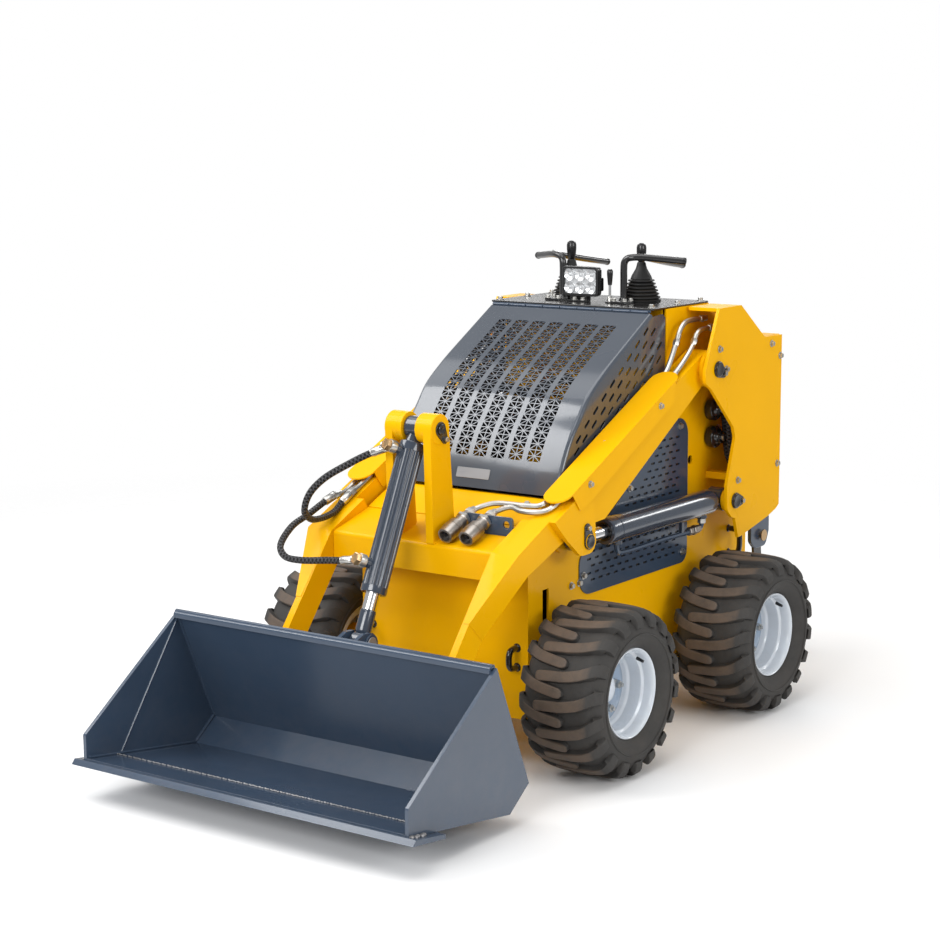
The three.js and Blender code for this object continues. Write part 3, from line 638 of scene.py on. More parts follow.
def rod(start, end, radius, end_radius=None, sides=28, edge=0.0008, finish=None):
    """A round bar or cone between two points in metres, with its rims broken."""
    a, b = Vector(start), Vector(end)
    along = b - a
    turn = along.to_track_quat("Z", "Y")
    deselect()
    bpy.ops.mesh.primitive_cone_add(
        vertices=sides, radius1=radius, radius2=radius if end_radius is None else end_radius,
        depth=along.length, location=(a + b) / 2, rotation=turn.to_euler())
    made = settle(active())
    if edge:
        soften(made, edge, 2, 50)
    if finish:
        coat(made, finish)
    return made


def turned(profile, origin, along, sides=48, finish=None, square=None):
    """A turned body: profile points (distance along the axis, radius) in metres, spun about it."""
    axis = Vector(along).normalized()
    side = axis.orthogonal().normalized() if square is None else Vector(square).normalized()
    deselect()
    bpy.ops.mesh.primitive_circle_add(vertices=len(profile), radius=0.1, fill_type="NOTHING")
    made = active()
    for vertex, (d, r) in zip(made.data.vertices, profile):
        vertex.co = Vector(origin) + axis * d + side * r
    made.data.update()
    edit(made)
    bpy.ops.mesh.spin(steps=sides, angle=math.tau, center=Vector(origin), axis=axis)
    bpy.ops.mesh.select_all(action="SELECT")
    bpy.ops.mesh.remove_doubles(threshold=2e-6)
    bpy.ops.mesh.dissolve_degenerate(threshold=1e-6)
    bpy.ops.mesh.normals_make_consistent(inside=False)
    leave()
    if finish:
        coat(made, finish)
    return made


def hexagon(centre, along, across, height, washer=0.0):
    """A hexagon bolt head with a chamfered crown, on a washer."""
    axis = Vector(along).normalized()
    start = Vector(centre)
    bodies = []
    if washer:
        bodies.append(rod(start, start + axis * 0.0022, washer, sides=20, edge=0.0004))
        start = start + axis * 0.0022
    bodies.append(rod(start, start + axis * height, across / 2 / math.cos(math.pi / 6), sides=6, edge=0.0009))
    return coat(weld_up(bodies), "steel")


def mix(u, t0, t1, p0, p1):
    """The point at u on a straight run from p0 at t0 to p1 at t1."""
    return (t1 - u) / (t1 - t0) * p0 + (u - t0) / (t1 - t0) * p1


def smooth_path(points, steps=10):
    """Points joined by a centripetal curve."""
    p = [Vector(q) for q in points]
    p = [p[0] * 2 - p[1]] + p + [p[-1] * 2 - p[-2]]
    out = []
    for i in range(1, len(p) - 2):
        t = [0.0]
        for k in range(3):
            t.append(t[-1] + max((p[i + k] - p[i + k - 1]).length, 1e-6) ** 0.5)
        for k in range(steps):
            u = t[1] + (t[2] - t[1]) * k / steps
            a = [mix(u, t[j], t[j + 1], p[i - 1 + j], p[i + j]) for j in range(3)]
            b = [mix(u, t[j], t[j + 2], a[j], a[j + 1]) for j in range(2)]
            out.append(mix(u, t[1], t[2], b[0], b[1]))
    out.append(p[-2])
    return out


def tube(points, radius, finish=None, sides=12, steps=10, weave=False):
    """A bent tube or hose with capped ends; the weave map runs along and round it."""
    path = smooth_path(points, steps)
    curve = bpy.data.curves.new("Tube", "CURVE")
    curve.dimensions = "3D"
    curve.bevel_depth = radius
    curve.bevel_resolution = max(1, sides // 4 - 1)
    curve.use_fill_caps = True
    line = curve.splines.new("POLY")
    line.points.add(len(path) - 1)
    for spot, point in zip(line.points, path):
        spot.co = (*point, 1)
    made = bpy.data.objects.new("Tube", curve)
    bpy.context.scene.collection.objects.link(made)
    pick(made)
    bpy.ops.object.convert(target="MESH")
    made = active()
    if weave:
        marks = [0.0]
        for a, b in zip(path, path[1:]):
            marks.append(marks[-1] + (b - a).length)
        run = [(path[min(i + 1, len(path) - 1)] - path[max(i - 1, 0)]).normalized() for i in range(len(path))]
        side = [run[0].orthogonal().normalized()]
        for r in run[1:]:
            side.append((side[-1] - r * side[-1].dot(r)).normalized())
        while made.data.uv_layers:
            made.data.uv_layers.remove(made.data.uv_layers[0])
        layer = made.data.uv_layers.new(name="along")
        spots = []
        for vertex in made.data.vertices:
            i = min(range(len(path)), key=lambda k: (path[k] - vertex.co).length_squared)
            off = vertex.co - path[i]
            up = run[i].cross(side[i])
            spots.append((marks[i] + off.dot(run[i]), math.atan2(off.dot(up), off.dot(side[i])) / math.tau))
        for face in made.data.polygons:
            rounds = [spots[made.data.loops[k].vertex_index][1] for k in face.loop_indices]
            wide = max(rounds) - min(rounds) > 0.5
            for k, r in zip(face.loop_indices, rounds):
                s = spots[made.data.loops[k].vertex_index][0]
                layer.data[k].uv = (s, r + 1 if wide and r < 0 else r)
    outwards(made)
    if finish:
        coat(made, finish)
    return made


# ---------------------------------------------------------------- stage

CAMERA_PLACE = (3323.4, -4928.6, 1696.85)
CAMERA_TURN, CAMERA_LIFT, CAMERA_ROLL = 36.018, 9.745, -0.389      # degrees
CAMERA_LENS, CAMERA_SHIFT = 82.15, (0.0022, 0.0094)
SKY_LIGHT, SKY_SEEN = 0.45, 1.0
LAMPS = (      # name, place, aim, size in metres, watts
    ("Overhead", (0.6, -0.4, 4.8), (0, 0, 0.6), (3.6, 3.6), 90),
    ("Front", (0.6, -6.2, 2.9), (0, -0.5, 0.6), (3.6, 2.2), 215),
    ("Side", (5.4, -0.9, 2.5), (0, 0, 0.6), (3.4, 1.6), 98),
    ("Hood strip", (-3.0, 0.1, 4.3), (0, 0, 1.0), (2.0, 5.0), 38),
    ("Hood glow", (-2.8, -2.3, 4.0), (0, -0.1, 0.95), (2.7, 2.2), 115),
    ("Barrel streak", (2.3, 5.2, 3.0), (0.3, 0.3, 0.6), (3.4, 0.42), 42),
    ("Back", (-2.5, 4.8, 3.4), (0, 0, 0.6), (3.0, 2.0), 70))


class LoaderStage(bpy.types.Operator):
    """Camera, soft studio light and the pale floor"""
    bl_idname = "loader.stage"
    bl_label = "Stage"

    def execute(self, context):
        scene = context.scene
        scene.view_settings.view_transform = "Standard"
        camera = bpy.data.cameras.new("Camera")
        camera.sensor_width = 36.0
        camera.lens = CAMERA_LENS
        camera.shift_x, camera.shift_y = CAMERA_SHIFT
        camera.clip_end = 600
        holder = bpy.data.objects.new("Camera", camera)
        scene.collection.objects.link(holder)
        turn, lift, roll = (math.radians(a) for a in (CAMERA_TURN, CAMERA_LIFT, CAMERA_ROLL))
        back = Vector((math.sin(turn) * math.cos(lift), -math.cos(turn) * math.cos(lift), math.sin(lift)))
        right = (-back).cross(Vector(Z_AXIS)).normalized()
        up = right.cross(-back)
        c, s = math.cos(roll), math.sin(roll)
        right, up = right * c + up * s, up * c - right * s
        holder.matrix_world = Matrix((
            (right.x, up.x, back.x, 0), (right.y, up.y, back.y, 0), (right.z, up.z, back.z, 0), (0, 0, 0, 1)))
        holder.location = at(*CAMERA_PLACE)
        scene.camera = holder

        world = bpy.data.worlds.new("Studio")
        scene.world = world
        world.use_nodes = True
        tree = world.node_tree
        sky = tree.nodes["Background"]
        sky.inputs["Color"].default_value = (1.0, 1.0, 1.0, 1.0)
        rays = node(tree, "ShaderNodeLightPath")
        tree.links.new(span(tree, rays.outputs["Is Camera Ray"], 0.0, 1.0, SKY_LIGHT, SKY_SEEN),
                       sky.inputs["Strength"])

        for name, place, aim, size, power in LAMPS:
            lamp = bpy.data.lights.new(name, "AREA")
            lamp.shape = "RECTANGLE"
            lamp.size, lamp.size_y = size
            lamp.energy = power
            made = bpy.data.objects.new(name, lamp)
            scene.collection.objects.link(made)
            made.location = place
            made.rotation_euler = (Vector(aim) - Vector(place)).to_track_quat("-Z", "Y").to_euler()

        deselect()
        bpy.ops.mesh.primitive_circle_add(vertices=96, radius=9, fill_type="NGON", location=(0, 0, 0))
        floor = settle(active())
        floor.name = "studio_floor"
        coat(floor, "floor")
        return {"FINISHED"}


# ---------------------------------------------------------------- wheels

def tyre_carcass(centre):
    """The tyre without its tread, open towards the rim."""
    profile = [(0.086, 0.1145), (0.089, 0.118), (0.097, 0.1215), (0.1035, 0.128), (0.1125, 0.141),
               (0.118, 0.156), (0.117, 0.168), (0.113, 0.18), (0.105, 0.191), (0.093, 0.2005),
               (0.078, 0.2065), (0.05, 0.209), (0.02, 0.21)]
    return turned(profile + [(-x, r) for x, r in reversed(profile)], centre, X_AXIS, 72, square=Z_AXIS)


def tread_lug(centre, side):
    """One lug: a bar with a rounded end past the middle, curving over the shoulder onto the sidewall."""
    if side > 0:
        stations = [(-0.066, 0.203, 0.0055, 10.6), (-0.0625, 0.2205, 0.006, 10.6),
                    (-0.059, 0.2228, 0.0098, 10.6),
                    (-0.053, 0.2236, 0.0124, 10.6), (-0.044, 0.2242, 0.0132, 10.5),
                    (-0.015, 0.2249, 0.0132, 10.0)]
    else:
        stations = [(-0.024, 0.206, 0.0055, 10.6), (-0.0205, 0.2215, 0.006, 10.6),
                    (-0.017, 0.2238, 0.0098, 10.6),
                    (-0.011, 0.2246, 0.0124, 10.5), (-0.003, 0.2249, 0.0132, 10.3)]
    # along the axle, radius at the top, half width, lead angle in degrees
    stations += [(0.015, 0.2249, 0.0133, 9.6), (0.04, 0.2245, 0.0136, 8.5), (0.064, 0.2234, 0.0142, 6.9),
                 (0.085, 0.221, 0.015, 4.6), (0.1, 0.217, 0.0158, 2.4), (0.111, 0.2095, 0.0162, 0.9),
                 (0.1175, 0.1995, 0.016, 0.2), (0.1203, 0.189, 0.0152, 0.0), (0.1203, 0.176, 0.014, 0.0)]
    nx = len(stations) - 1
    deselect()
    bpy.ops.mesh.primitive_grid_add(x_subdivisions=nx, y_subdivisions=4, size=1)
    made = active()
    for vertex in made.data.vertices:
        i = round((vertex.co.x + 0.5) * nx)
        j = round((vertex.co.y + 0.5) * 4) - 2
        x, r, half, lead = stations[i]
        pull = max(0.0, min(1.0, (x - 0.104) / 0.014))
        if abs(j) == 2:
            r, half, x = r - 0.02 * (1 - pull), half + 0.0032, x - 0.016 * pull
            if i == 0:
                half -= 0.004
        angle = math.radians(lead) + (0 if j == 0 else math.copysign(half, j)) / r
        vertex.co = Vector((side * x, -math.sin(angle) * r, math.cos(angle) * r))
    made.data.update()
    edit(made, "DESELECT")
    bpy.ops.mesh.select_non_manifold(extend=False)
    bpy.ops.mesh.edge_face_add()
    leave()
    outwards(made)
    soften(made, 0.0018, 2, 32)
    made.data.transform(Matrix.Translation(centre))
    return made


def wheel_tyre(centre):
    """Carcass, two rows of lugs and a ring on each sidewall; reach marks the worn tops."""
    n = sizes().lugs
    bodies = [tyre_carcass(centre)]
    for side in (1, -1):
        lug = tread_lug(centre, side)
        for k in range(n):
            turn = math.tau * (k + (0.5 if side < 0 else 0.0)) / n
            bodies.append(copy_of(lug, about(centre, Matrix.Rotation(turn, 4, "X"))))
        bpy.data.objects.remove(lug)
    for side in (1, -1):
        bodies.append(turned([(0.1188, 0.1555), (0.1205, 0.1575), (0.1188, 0.1595), (0.116, 0.1575)],
                             centre, (side, 0, 0), 64, square=Z_AXIS))
    made = weld_up(bodies)
    reach = made.data.attributes.new("reach", "FLOAT", "POINT")
    for vertex, value in zip(made.data.vertices, reach.data):
        off = vertex.co - centre
        value.value = max(0.0, min(1.0, (math.hypot(off.y, off.z) - 0.195) / 0.03))
    return coat(made, "tyre")


# depth and radius of the deep disc, whose faces get the darker painted-shade finish
SHADED_DISC_DEPTH, SHADED_DISC_RADIUS, WHEEL_NUTS = (-0.001, 0.012), 0.0885, 5


def wheel_rim(centre):
    """Stepped steel rim of a left wheel with a deep disc, hub cap, wheel nuts and valve; the disc's faces
    carry painted shade.
    """
    out = Vector(X_AXIS)
    shell = turned([
        (0.0925, 0.1187), (0.0955, 0.1178), (0.0962, 0.116), (0.095, 0.114), (0.0905, 0.1118),
        (0.086, 0.1098),
        (0.078, 0.1086), (0.066, 0.108), (0.063, 0.105), (0.061, 0.1015), (0.056, 0.1002),
        (0.03, 0.0992),
        (0.0265, 0.097), (0.024, 0.0935), (0.019, 0.0915), (0.011, 0.09), (0.0075, 0.0865),
        (0.0062, 0.081),
        (0.006, 0.044), (0.0085, 0.042), (0.0085, 0.0),
        (-0.004, 0.0), (-0.004, 0.084), (-0.09, 0.099), (-0.09, 0.1187), (-0.084, 0.1187),
        (-0.08, 0.1045), (0.056, 0.1045), (0.064, 0.1105), (0.084, 0.113), (0.089, 0.1187)],
        centre, out, 72, square=Z_AXIS)
    coat(shell, "rim")
    # the faces of the deep disc take the darker finish: painted shade, as the disc sits in shade inside the
    # rim
    shell.data.materials.append(finish_of("disc"))
    for face in shell.data.polygons:
        off = face.center - centre
        if SHADED_DISC_DEPTH[0] < off.x < SHADED_DISC_DEPTH[1] and math.hypot(off.y, off.z) < SHADED_DISC_RADIUS:
            face.material_index = 1
    bodies = [shell,
              turned([(0.004, 0.036), (0.02, 0.036), (0.026, 0.032), (0.03, 0.02), (0.03, 0.0),
                      (0.004, 0.0)],
                     centre, out, 32, "rim", square=Z_AXIS)]
    for k in range(WHEEL_NUTS):
        turn = math.tau * (k + 0.25) / WHEEL_NUTS
        spot = centre + out * 0.007 + Vector((0, math.sin(turn), math.cos(turn))) * 0.058
        bodies += [turned([(0.0, 0.013), (0.004, 0.013), (0.007, 0.0105), (0.007, 0.0), (0.0, 0.0)],
                          spot, out, 16, "steel"),
                   hexagon(spot + out * 0.006, out, 0.019, 0.012),
                   rod(spot + out * 0.016, spot + out * 0.025, 0.0055, sides=12, finish="steel")]
    lean = Vector((0, 0.62, 0.78))
    stem = centre + out * 0.072 + lean.normalized() * 0.099
    bodies += [rod(stem, stem + out * 0.022 - lean * 0.007, 0.005, 0.0038, 12, finish="knob"),
               turned([(-0.004, 0.0), (-0.051, 0.0), (-0.051, 0.05), (-0.004, 0.05)],
                      centre, out, 32, "rim", square=Z_AXIS)]
    return weld_up(bodies)


class LoaderWheels(bpy.types.Operator):
    """Four wheels: lugged tyres and stepped rims"""
    bl_idname = "loader.wheels"
    bl_label = "Wheels"

    def execute(self, context):
        first = FRONT_AXLE.copy()
        tyre, rim = wheel_tyre(first), wheel_rim(first)
        wheels = [("front_left", tyre, rim)]
        for end, side, s in (("front", "right", -1), ("rear", "left", 1), ("rear", "right", -1)):
            centre = AXLES[f"wheel_{end}_{side}_spin"]
            move = Matrix.Translation(centre) @ (MIRROR if s < 0 else Matrix()) @ Matrix.Translation(-first)
            wheels.append((f"{end}_{side}", copy_of(tyre, move), copy_of(rim, move)))
        for name, tyre, rim in wheels:
            hand_over(tyre, f"tread_{name}", f"wheel_{name}", [f"tyre_{name}"])
            hand_over(rim, f"wheel_rim_{name}", f"wheel_{name}", [f"rim_{name}"])
        return {"FINISHED"}


# ---------------------------------------------------------------- chassis

def bolts(spots, along, across=0.013, height=0.007, washer=0.0105):
    """One bolt, copied to each spot."""
    return copies_of(hexagon((0, 0, 0), along, across, height, washer), spots)


class LoaderChassis(bpy.types.Operator):
    """Welded main frame, console cover and the axle housings"""
    bl_idname = "loader.chassis"
    bl_label = "Chassis"

    def execute(self, context):
        bodies = [from_frame("main_frame", "yellow")]
        for s in (1, -1):
            for axle in (FRONT_AXLE, REAR_AXLE):
                bodies.append(turned([
                    (-0.175, 0.063), (-0.163, 0.074), (-0.155, 0.074), (-0.15, 0.0635), (-0.056, 0.0625),
                    (-0.052, 0.06), (-0.052, 0.0), (-0.175, 0.0)],
                    (s * axle.x, axle.y, axle.z), (s, 0, 0), 36, "yellow", square=Z_AXIS))
            spots = ((-271, 452), (-233, 453), (495, 833), (506, 781))
            bodies += bolts([at(s * WALL_X, y, z) for y, z in spots], (s, 0, 0))
        hand_over(weld_up(bodies), "frame_shell", "chassis", ["main_frame"])

        bodies = [from_frame("rear_cover", "yellow")]
        bodies += bolts([at(x, 691.6, z) for x in (-248, 248) for z in (600, 760, 920, 1030)], Y_AXIS)
        for z in range(660, 960, 24):
            for x in (-120, 0, 120):
                bodies.append(brick((x - 44, 690, z), (x + 44, 694, z + 9), 0.0015, 2, "knob"))
        hand_over(weld_up(bodies), "rear_panel", "chassis", ["rear_cover"])

        bodies = [from_frame("deck_plate", "black"),
                  brick((-266, 137.4, 1143.8), (266, 139.4, 1150.6), 0.0004, 1, "slate")]
        bodies += bolts([at(x, y, DECK_Z) for x in (-255, 255) for y in (160, 300, 430)], Z_AXIS)
        hand_over(weld_up(bodies), "console_top", "chassis", ["deck_plate"])
        return {"FINISHED"}


def stadium(half_length, half_width, steps=5):
    """A slot's outline, its ends round."""
    points = []
    for side in (1, -1):
        for k in range(steps + 1):
            a = -side * math.pi / 2 + math.pi * k / steps
            points.append((side * (half_length - half_width) + half_width * math.cos(a),
                           half_width * math.sin(a)))
    return points


def punch(piece, tools, folded=False):
    """Takes the joined tools out of a sheet; a folded sheet takes the plain solver."""
    cutter = weld_up(tools)
    pick(piece)
    made = piece.modifiers.new("Punch", "BOOLEAN")
    made.operation = "DIFFERENCE"
    made.solver = "FAST" if folded else "EXACT"
    made.object = cutter
    bpy.ops.object.modifier_apply(modifier=made.name)
    bpy.data.objects.remove(cutter)
    return piece


def slots(spots, half_length, half_width, turn, x, depth):
    """Slot punches through a side sheet, one shape copied to each (y, z)."""
    c, s = math.cos(turn), math.sin(turn)
    shape = [(u * c - v * s, u * s + v * c) for u, v in stadium(half_length, half_width)]
    return copies_of(plate(shape, "x", x - depth, x + depth, edge=0),
                     [(0, y / 1000, z / 1000) for y, z in spots])


COVER_OUTLINE = [
    (-235, 415, 55), (331, 415, 35), (331, 835, 50), (215, 835, 20), (136, 773, 40),
    (-25, 656), (-104, 606, 40), (-235, 520, 40)]
# outline of the thin black sheet behind the slots: painted shade for the dark inside seen through them
SHADE_SHEET_OUTLINE = [
    (-229, 421, 50), (325, 421, 30), (325, 829, 45), (217, 829, 18), (139, 767, 36),
    (-23, 650), (-101, 600, 36), (-229, 514, 36)]
SLOT_PITCH = (38.5, 19.5)      # along a row, and from row to row


def in_cover(y, z):
    """Whether a slot at y, z keeps clear of the cover's edge."""
    if not (-205 < y < 303 and 440 < z < 805):
        return False
    if y > 240:
        return True
    if y > 136:
        top = 773 + (y - 136) * 0.78
    elif y < -104:
        top = 560 + (y + 235) * 0.62
    else:
        top = 606 + (y + 104) * 0.66
    return z <= top - 34


class LoaderSideCovers(bpy.types.Operator):
    """Slotted covers on the side walls, with a black sheet behind the slots as painted shade"""
    bl_idname = "loader.side_covers"
    bl_label = "Side covers"

    def execute(self, context):
        spots = []
        for row in range(18):
            for column in range(15):
                y = 274 - SLOT_PITCH[0] * column - (19.2 if row % 2 else 0)
                z = 783 - SLOT_PITCH[1] * row
                if in_cover(y, z):
                    spots.append((y, z))
        cover = plate(COVER_OUTLINE, "x", 273.3, 276.3, edge=0)
        punch(cover, slots(spots, 11, 3.1, 0.0, 275, 8))
        coat(cover, "slate")
        # a thin black sheet between wall and cover: painted shade, so the slots look as dark as the shaded
        # inside
        shade_sheet = plate(SHADE_SHEET_OUTLINE, "x", 273.02, 273.26, edge=0, finish="knob")
        corners = ((286, 813), (16, 673), (-216, 470), (303, 447))
        left = weld_up([cover, shade_sheet] + bolts([at(276.2, y, z) for y, z in corners], X_AXIS))
        hand_over_pair(left, "slotted_cover_*", "chassis", "side_cover_*")
        return {"FINISHED"}


def keeper(y, z, dy, dz, x, side=1, pin=0.021, reach=23, tip=13):
    """Pin end with its teardrop keeper plate and bolt; dy, dz lead from the pin to the bolt."""
    angle, gap = math.atan2(dz, dy), math.hypot(dy, dz)
    lean = math.asin((reach - tip) / gap)
    outline = []
    for k in range(17):
        a = angle + math.pi / 2 - lean + (math.pi + 2 * lean) * k / 16
        outline.append((y + reach * math.cos(a), z + reach * math.sin(a)))
    for k in range(9):
        a = angle - math.pi / 2 + lean + (math.pi - 2 * lean) * k / 8
        outline.append((y + dy + tip * math.cos(a), z + dz + tip * math.sin(a)))
    return [plate(outline, "x", side * x, side * (x + 4.5), 0.0012, 2, "black"),
            turned([(0.0, 0.0), (0.0, pin), (0.0075, pin), (0.009, pin - 0.0018), (0.009, pin - 0.006),
                    (0.0078, pin - 0.008), (0.0078, 0.0)],
                   at(side * x, y, z), (side, 0, 0), 32, "black", square=Z_AXIS)] + bolts(
                       [at(side * (x + 4.5), y + dy, z + dz)], (side, 0, 0), 0.013, 0.008, 0.0)


class LoaderTowers(bpy.types.Operator):
    """Rear towers with their bolts, keeper plates and pins"""
    bl_idname = "loader.towers"
    bl_label = "Towers"

    def execute(self, context):
        bodies = [from_frame("tower_left", "yellow")]
        spots = ((359, 974), (320, 1034), (627, 1022), (681, 982), (672, 663), (434, 646))
        bodies += bolts([at(TOWER_X + 0.2, y, z) for y, z in spots], X_AXIS)
        bodies += keeper(*PIVOT, 30, -14, TOWER_X) + keeper(*LIFT_BASE, 32, -4, TOWER_X)
        bodies.append(turned([(0.0, 0.0205), (0.0, 0.032), (0.0015, 0.0335), (0.019, 0.0335),
                              (0.019, 0.0205)],
                             at(349.6, *LIFT_BASE), X_AXIS, 40, "yellow", square=Z_AXIS))
        for y, z in ((452, 842), (455, 762)):
            bodies.append(turned([(0.0, 0.0), (0.0, 0.03), (0.004, 0.032), (0.022, 0.032), (0.026, 0.028),
                                  (0.026, 0.018), (0.04, 0.018), (0.042, 0.015), (0.042, 0.0)],
                                 at(276, y, z), X_AXIS, 32, "black", square=Z_AXIS))
            bodies += bolts([at(318, y, z)], X_AXIS, 0.017, 0.008, 0.0)
        for route in (
                ((330, 470, 905), (334, 462, 850), (336, 466, 780), (332, 490, 700), (322, 560, 650)),
                ((300, 500, 905), (302, 492, 850), (304, 500, 780), (302, 520, 700), (300, 580, 650))):
            bodies.append(tube([at(*p) for p in route], 0.011, "hose", 12, 6, True))
        hand_over_pair(weld_up(bodies), "tower_plate_*", "chassis", "tower_*")
        return {"FINISHED"}


class LoaderEngineBay(bpy.types.Operator):
    """What shows through the openings: engine, cooler, tanks and hydraulics"""
    bl_idname = "loader.engine_bay"
    bl_label = "Engine bay"

    def execute(self, context):
        bodies = [brick((-180, -150, 300), (180, 250, 560), 0.012, 3, "iron"),
                  brick((-140, -120, 560), (140, 220, 640), 0.01, 3, "iron"),
                  brick((-95, -90, 640), (95, 200, 700), 0.014, 3, "iron")]
        for x in (-190, 150):
            bodies.append(brick((x, -120, 135.3), (x + 40, 220, 310), 0.004, 2, "iron"))
        for k in range(9):
            bodies.append(brick((-184, -130 + 42 * k, 330), (184, -118 + 42 * k, 540), 0.002, 2, "iron"))
        bodies.append(turned([(0, 0.09), (0.012, 0.095), (0.03, 0.095), (0.042, 0.085), (0.042, 0.03),
                              (0.05, 0.03), (0.05, 0.0), (0, 0.0)],
                             at(0, -150, 470), (0, -1, 0), 40, "black"))
        hand_over(weld_up(bodies), "engine_body", "chassis", ["engine_block"])

        cooler = [brick((-215, -150, 790), (215, -128, 905), 0.004, 2, "black"),
                  brick((-222, -154, 905), (222, -124, 925), 0.006, 2, "black")]
        for k in range(34):
            x = -205 + 12.2 * k
            cooler.append(brick((x, -156, 796), (x + 2.4, -124, 902), 0.0004, 1, "iron"))
        for x in (-205, 190):
            cooler.append(brick((x, -148, 556), (x + 15, -130, 800), 0.002, 2, "black"))
        for x, r, foot, top, finish in ((-150, 52, 556, 1000, "yellow"), (120, 58, 636, 960, "iron")):
            tall = top / 1000 - foot / 1000
            cooler.append(turned([(0.0, 0.0), (0.0, r / 1000), (tall - 0.015, r / 1000), (tall, r / 1300),
                                  (tall, 0.0)],
                                 at(x, 120, foot), Z_AXIS, 32, finish))
        cooler.append(brick((-20, -60, 690), (70, 60, 905), 0.02, 3, "yellow"))
        route = ((-200, -90, 760), (-190, -70, 880), (-120, -40, 930), (-20, -20, 920), (60, 20, 960),
                 (150, 40, 900))
        cooler.append(tube([at(*p) for p in route], 0.014, "hose", 12, 6))
        hand_over(weld_up(cooler), "cooler", "chassis")

        wall = [brick((-262, 206, 886), (262, 209, 1148), 0.001, 1, "yellow"),
                brick((-262, 180, 1120), (262, 209, 1124), 0.001, 1, "yellow")]
        hand_over(weld_up(wall), "console_front", "chassis")
        deck = [plate([(-466, 566), (-466, 571), (-452, 571), (-452, 640), (-340, 690), (-322, 690),
                       (-322, 684), (-338, 684),
                       (-447, 636), (-447, 566)], "x", -266, 266, 0.001, 2, "yellow")]
        for x in (-266, 262):
            deck.append(plate([(-450, 570), (-450, 639), (-340, 688), (-340, 676)], "x", x, x + 4, 0.0008, 1,
                              "yellow"))
        deck += bolts([at(x, -368, 677.5) for x in (-200, 200)], (0, -0.407, 0.913), 0.013, 0.007, 0.01)
        hand_over(weld_up(deck), "front_deck", "chassis")
        return {"FINISHED"}


# ---------------------------------------------------------------- hood

HOOD_PROFILE = [(-338, 700), (-314, 764), (-275, 840), (-228, 898), (-187, 948), (-112, 1002), (-68, 1029),
                (132, 1143)]


def hood_line():
    """The hood's side profile as (distance along it, y, z), finely divided."""
    pts = smooth_path([Vector((0, y, z)) for y, z in HOOD_PROFILE[:-1]], 14)
    last = Vector((0, *HOOD_PROFILE[-1]))
    pts += [pts[-1].lerp(last, k / 14) for k in range(1, 15)]
    marks = [0.0]
    for a, b in zip(pts, pts[1:]):
        marks.append(marks[-1] + (b - a).length)
    return marks, pts


def hood_spot(s, marks, pts):
    """Point of the hood's profile at distance s."""
    s = max(0.0, min(marks[-1], s))
    i = max(1, next((k for k, m in enumerate(marks) if m >= s), len(marks) - 1))
    return pts[i - 1].lerp(pts[i], (s - marks[i - 1]) / (marks[i] - marks[i - 1]))


def hood_at(s, marks, pts):
    """Point and inward normal of the hood's profile at distance s."""
    run = (hood_spot(s + 14.0, marks, pts) - hood_spot(s - 14.0, marks, pts)).normalized()
    return hood_spot(s, marks, pts), Vector((0, run.z, -run.y))


HOOD_FOLD, HOOD_HALF, CELL_HALF = 11.0, 273.0, 22.5
CELL_COLUMNS = (-175, -116.7, -58.3, 0, 58.3, 116.7, 175)
CELL_START, CELL_ROWS, CELL_PITCH = 86.0, 30, 17.2
HOOD_SLOTS = [
    (102, 1096), (141, 1092), (58, 1065), (97, 1060), (136, 1056), (174, 1050), (16, 1033), (54, 1029),
    (94, 1023), (132, 1018), (171, 1012), (-26, 1000), (12, 996), (51, 991), (89, 986), (127, 981),
    (-69, 970), (-31, 965), (10, 959), (47, 953), (85, 948), (-111, 938), (-73, 933), (-35, 928),
    (3, 923), (41, 918), (-152, 907), (-115, 902), (-77, 897), (-40, 892), (-2, 887), (-194, 876),
    (-159, 871), (-117, 864), (-80, 859), (-236, 840), (-204, 838), (-160, 832), (-244, 808), (-206, 803)]


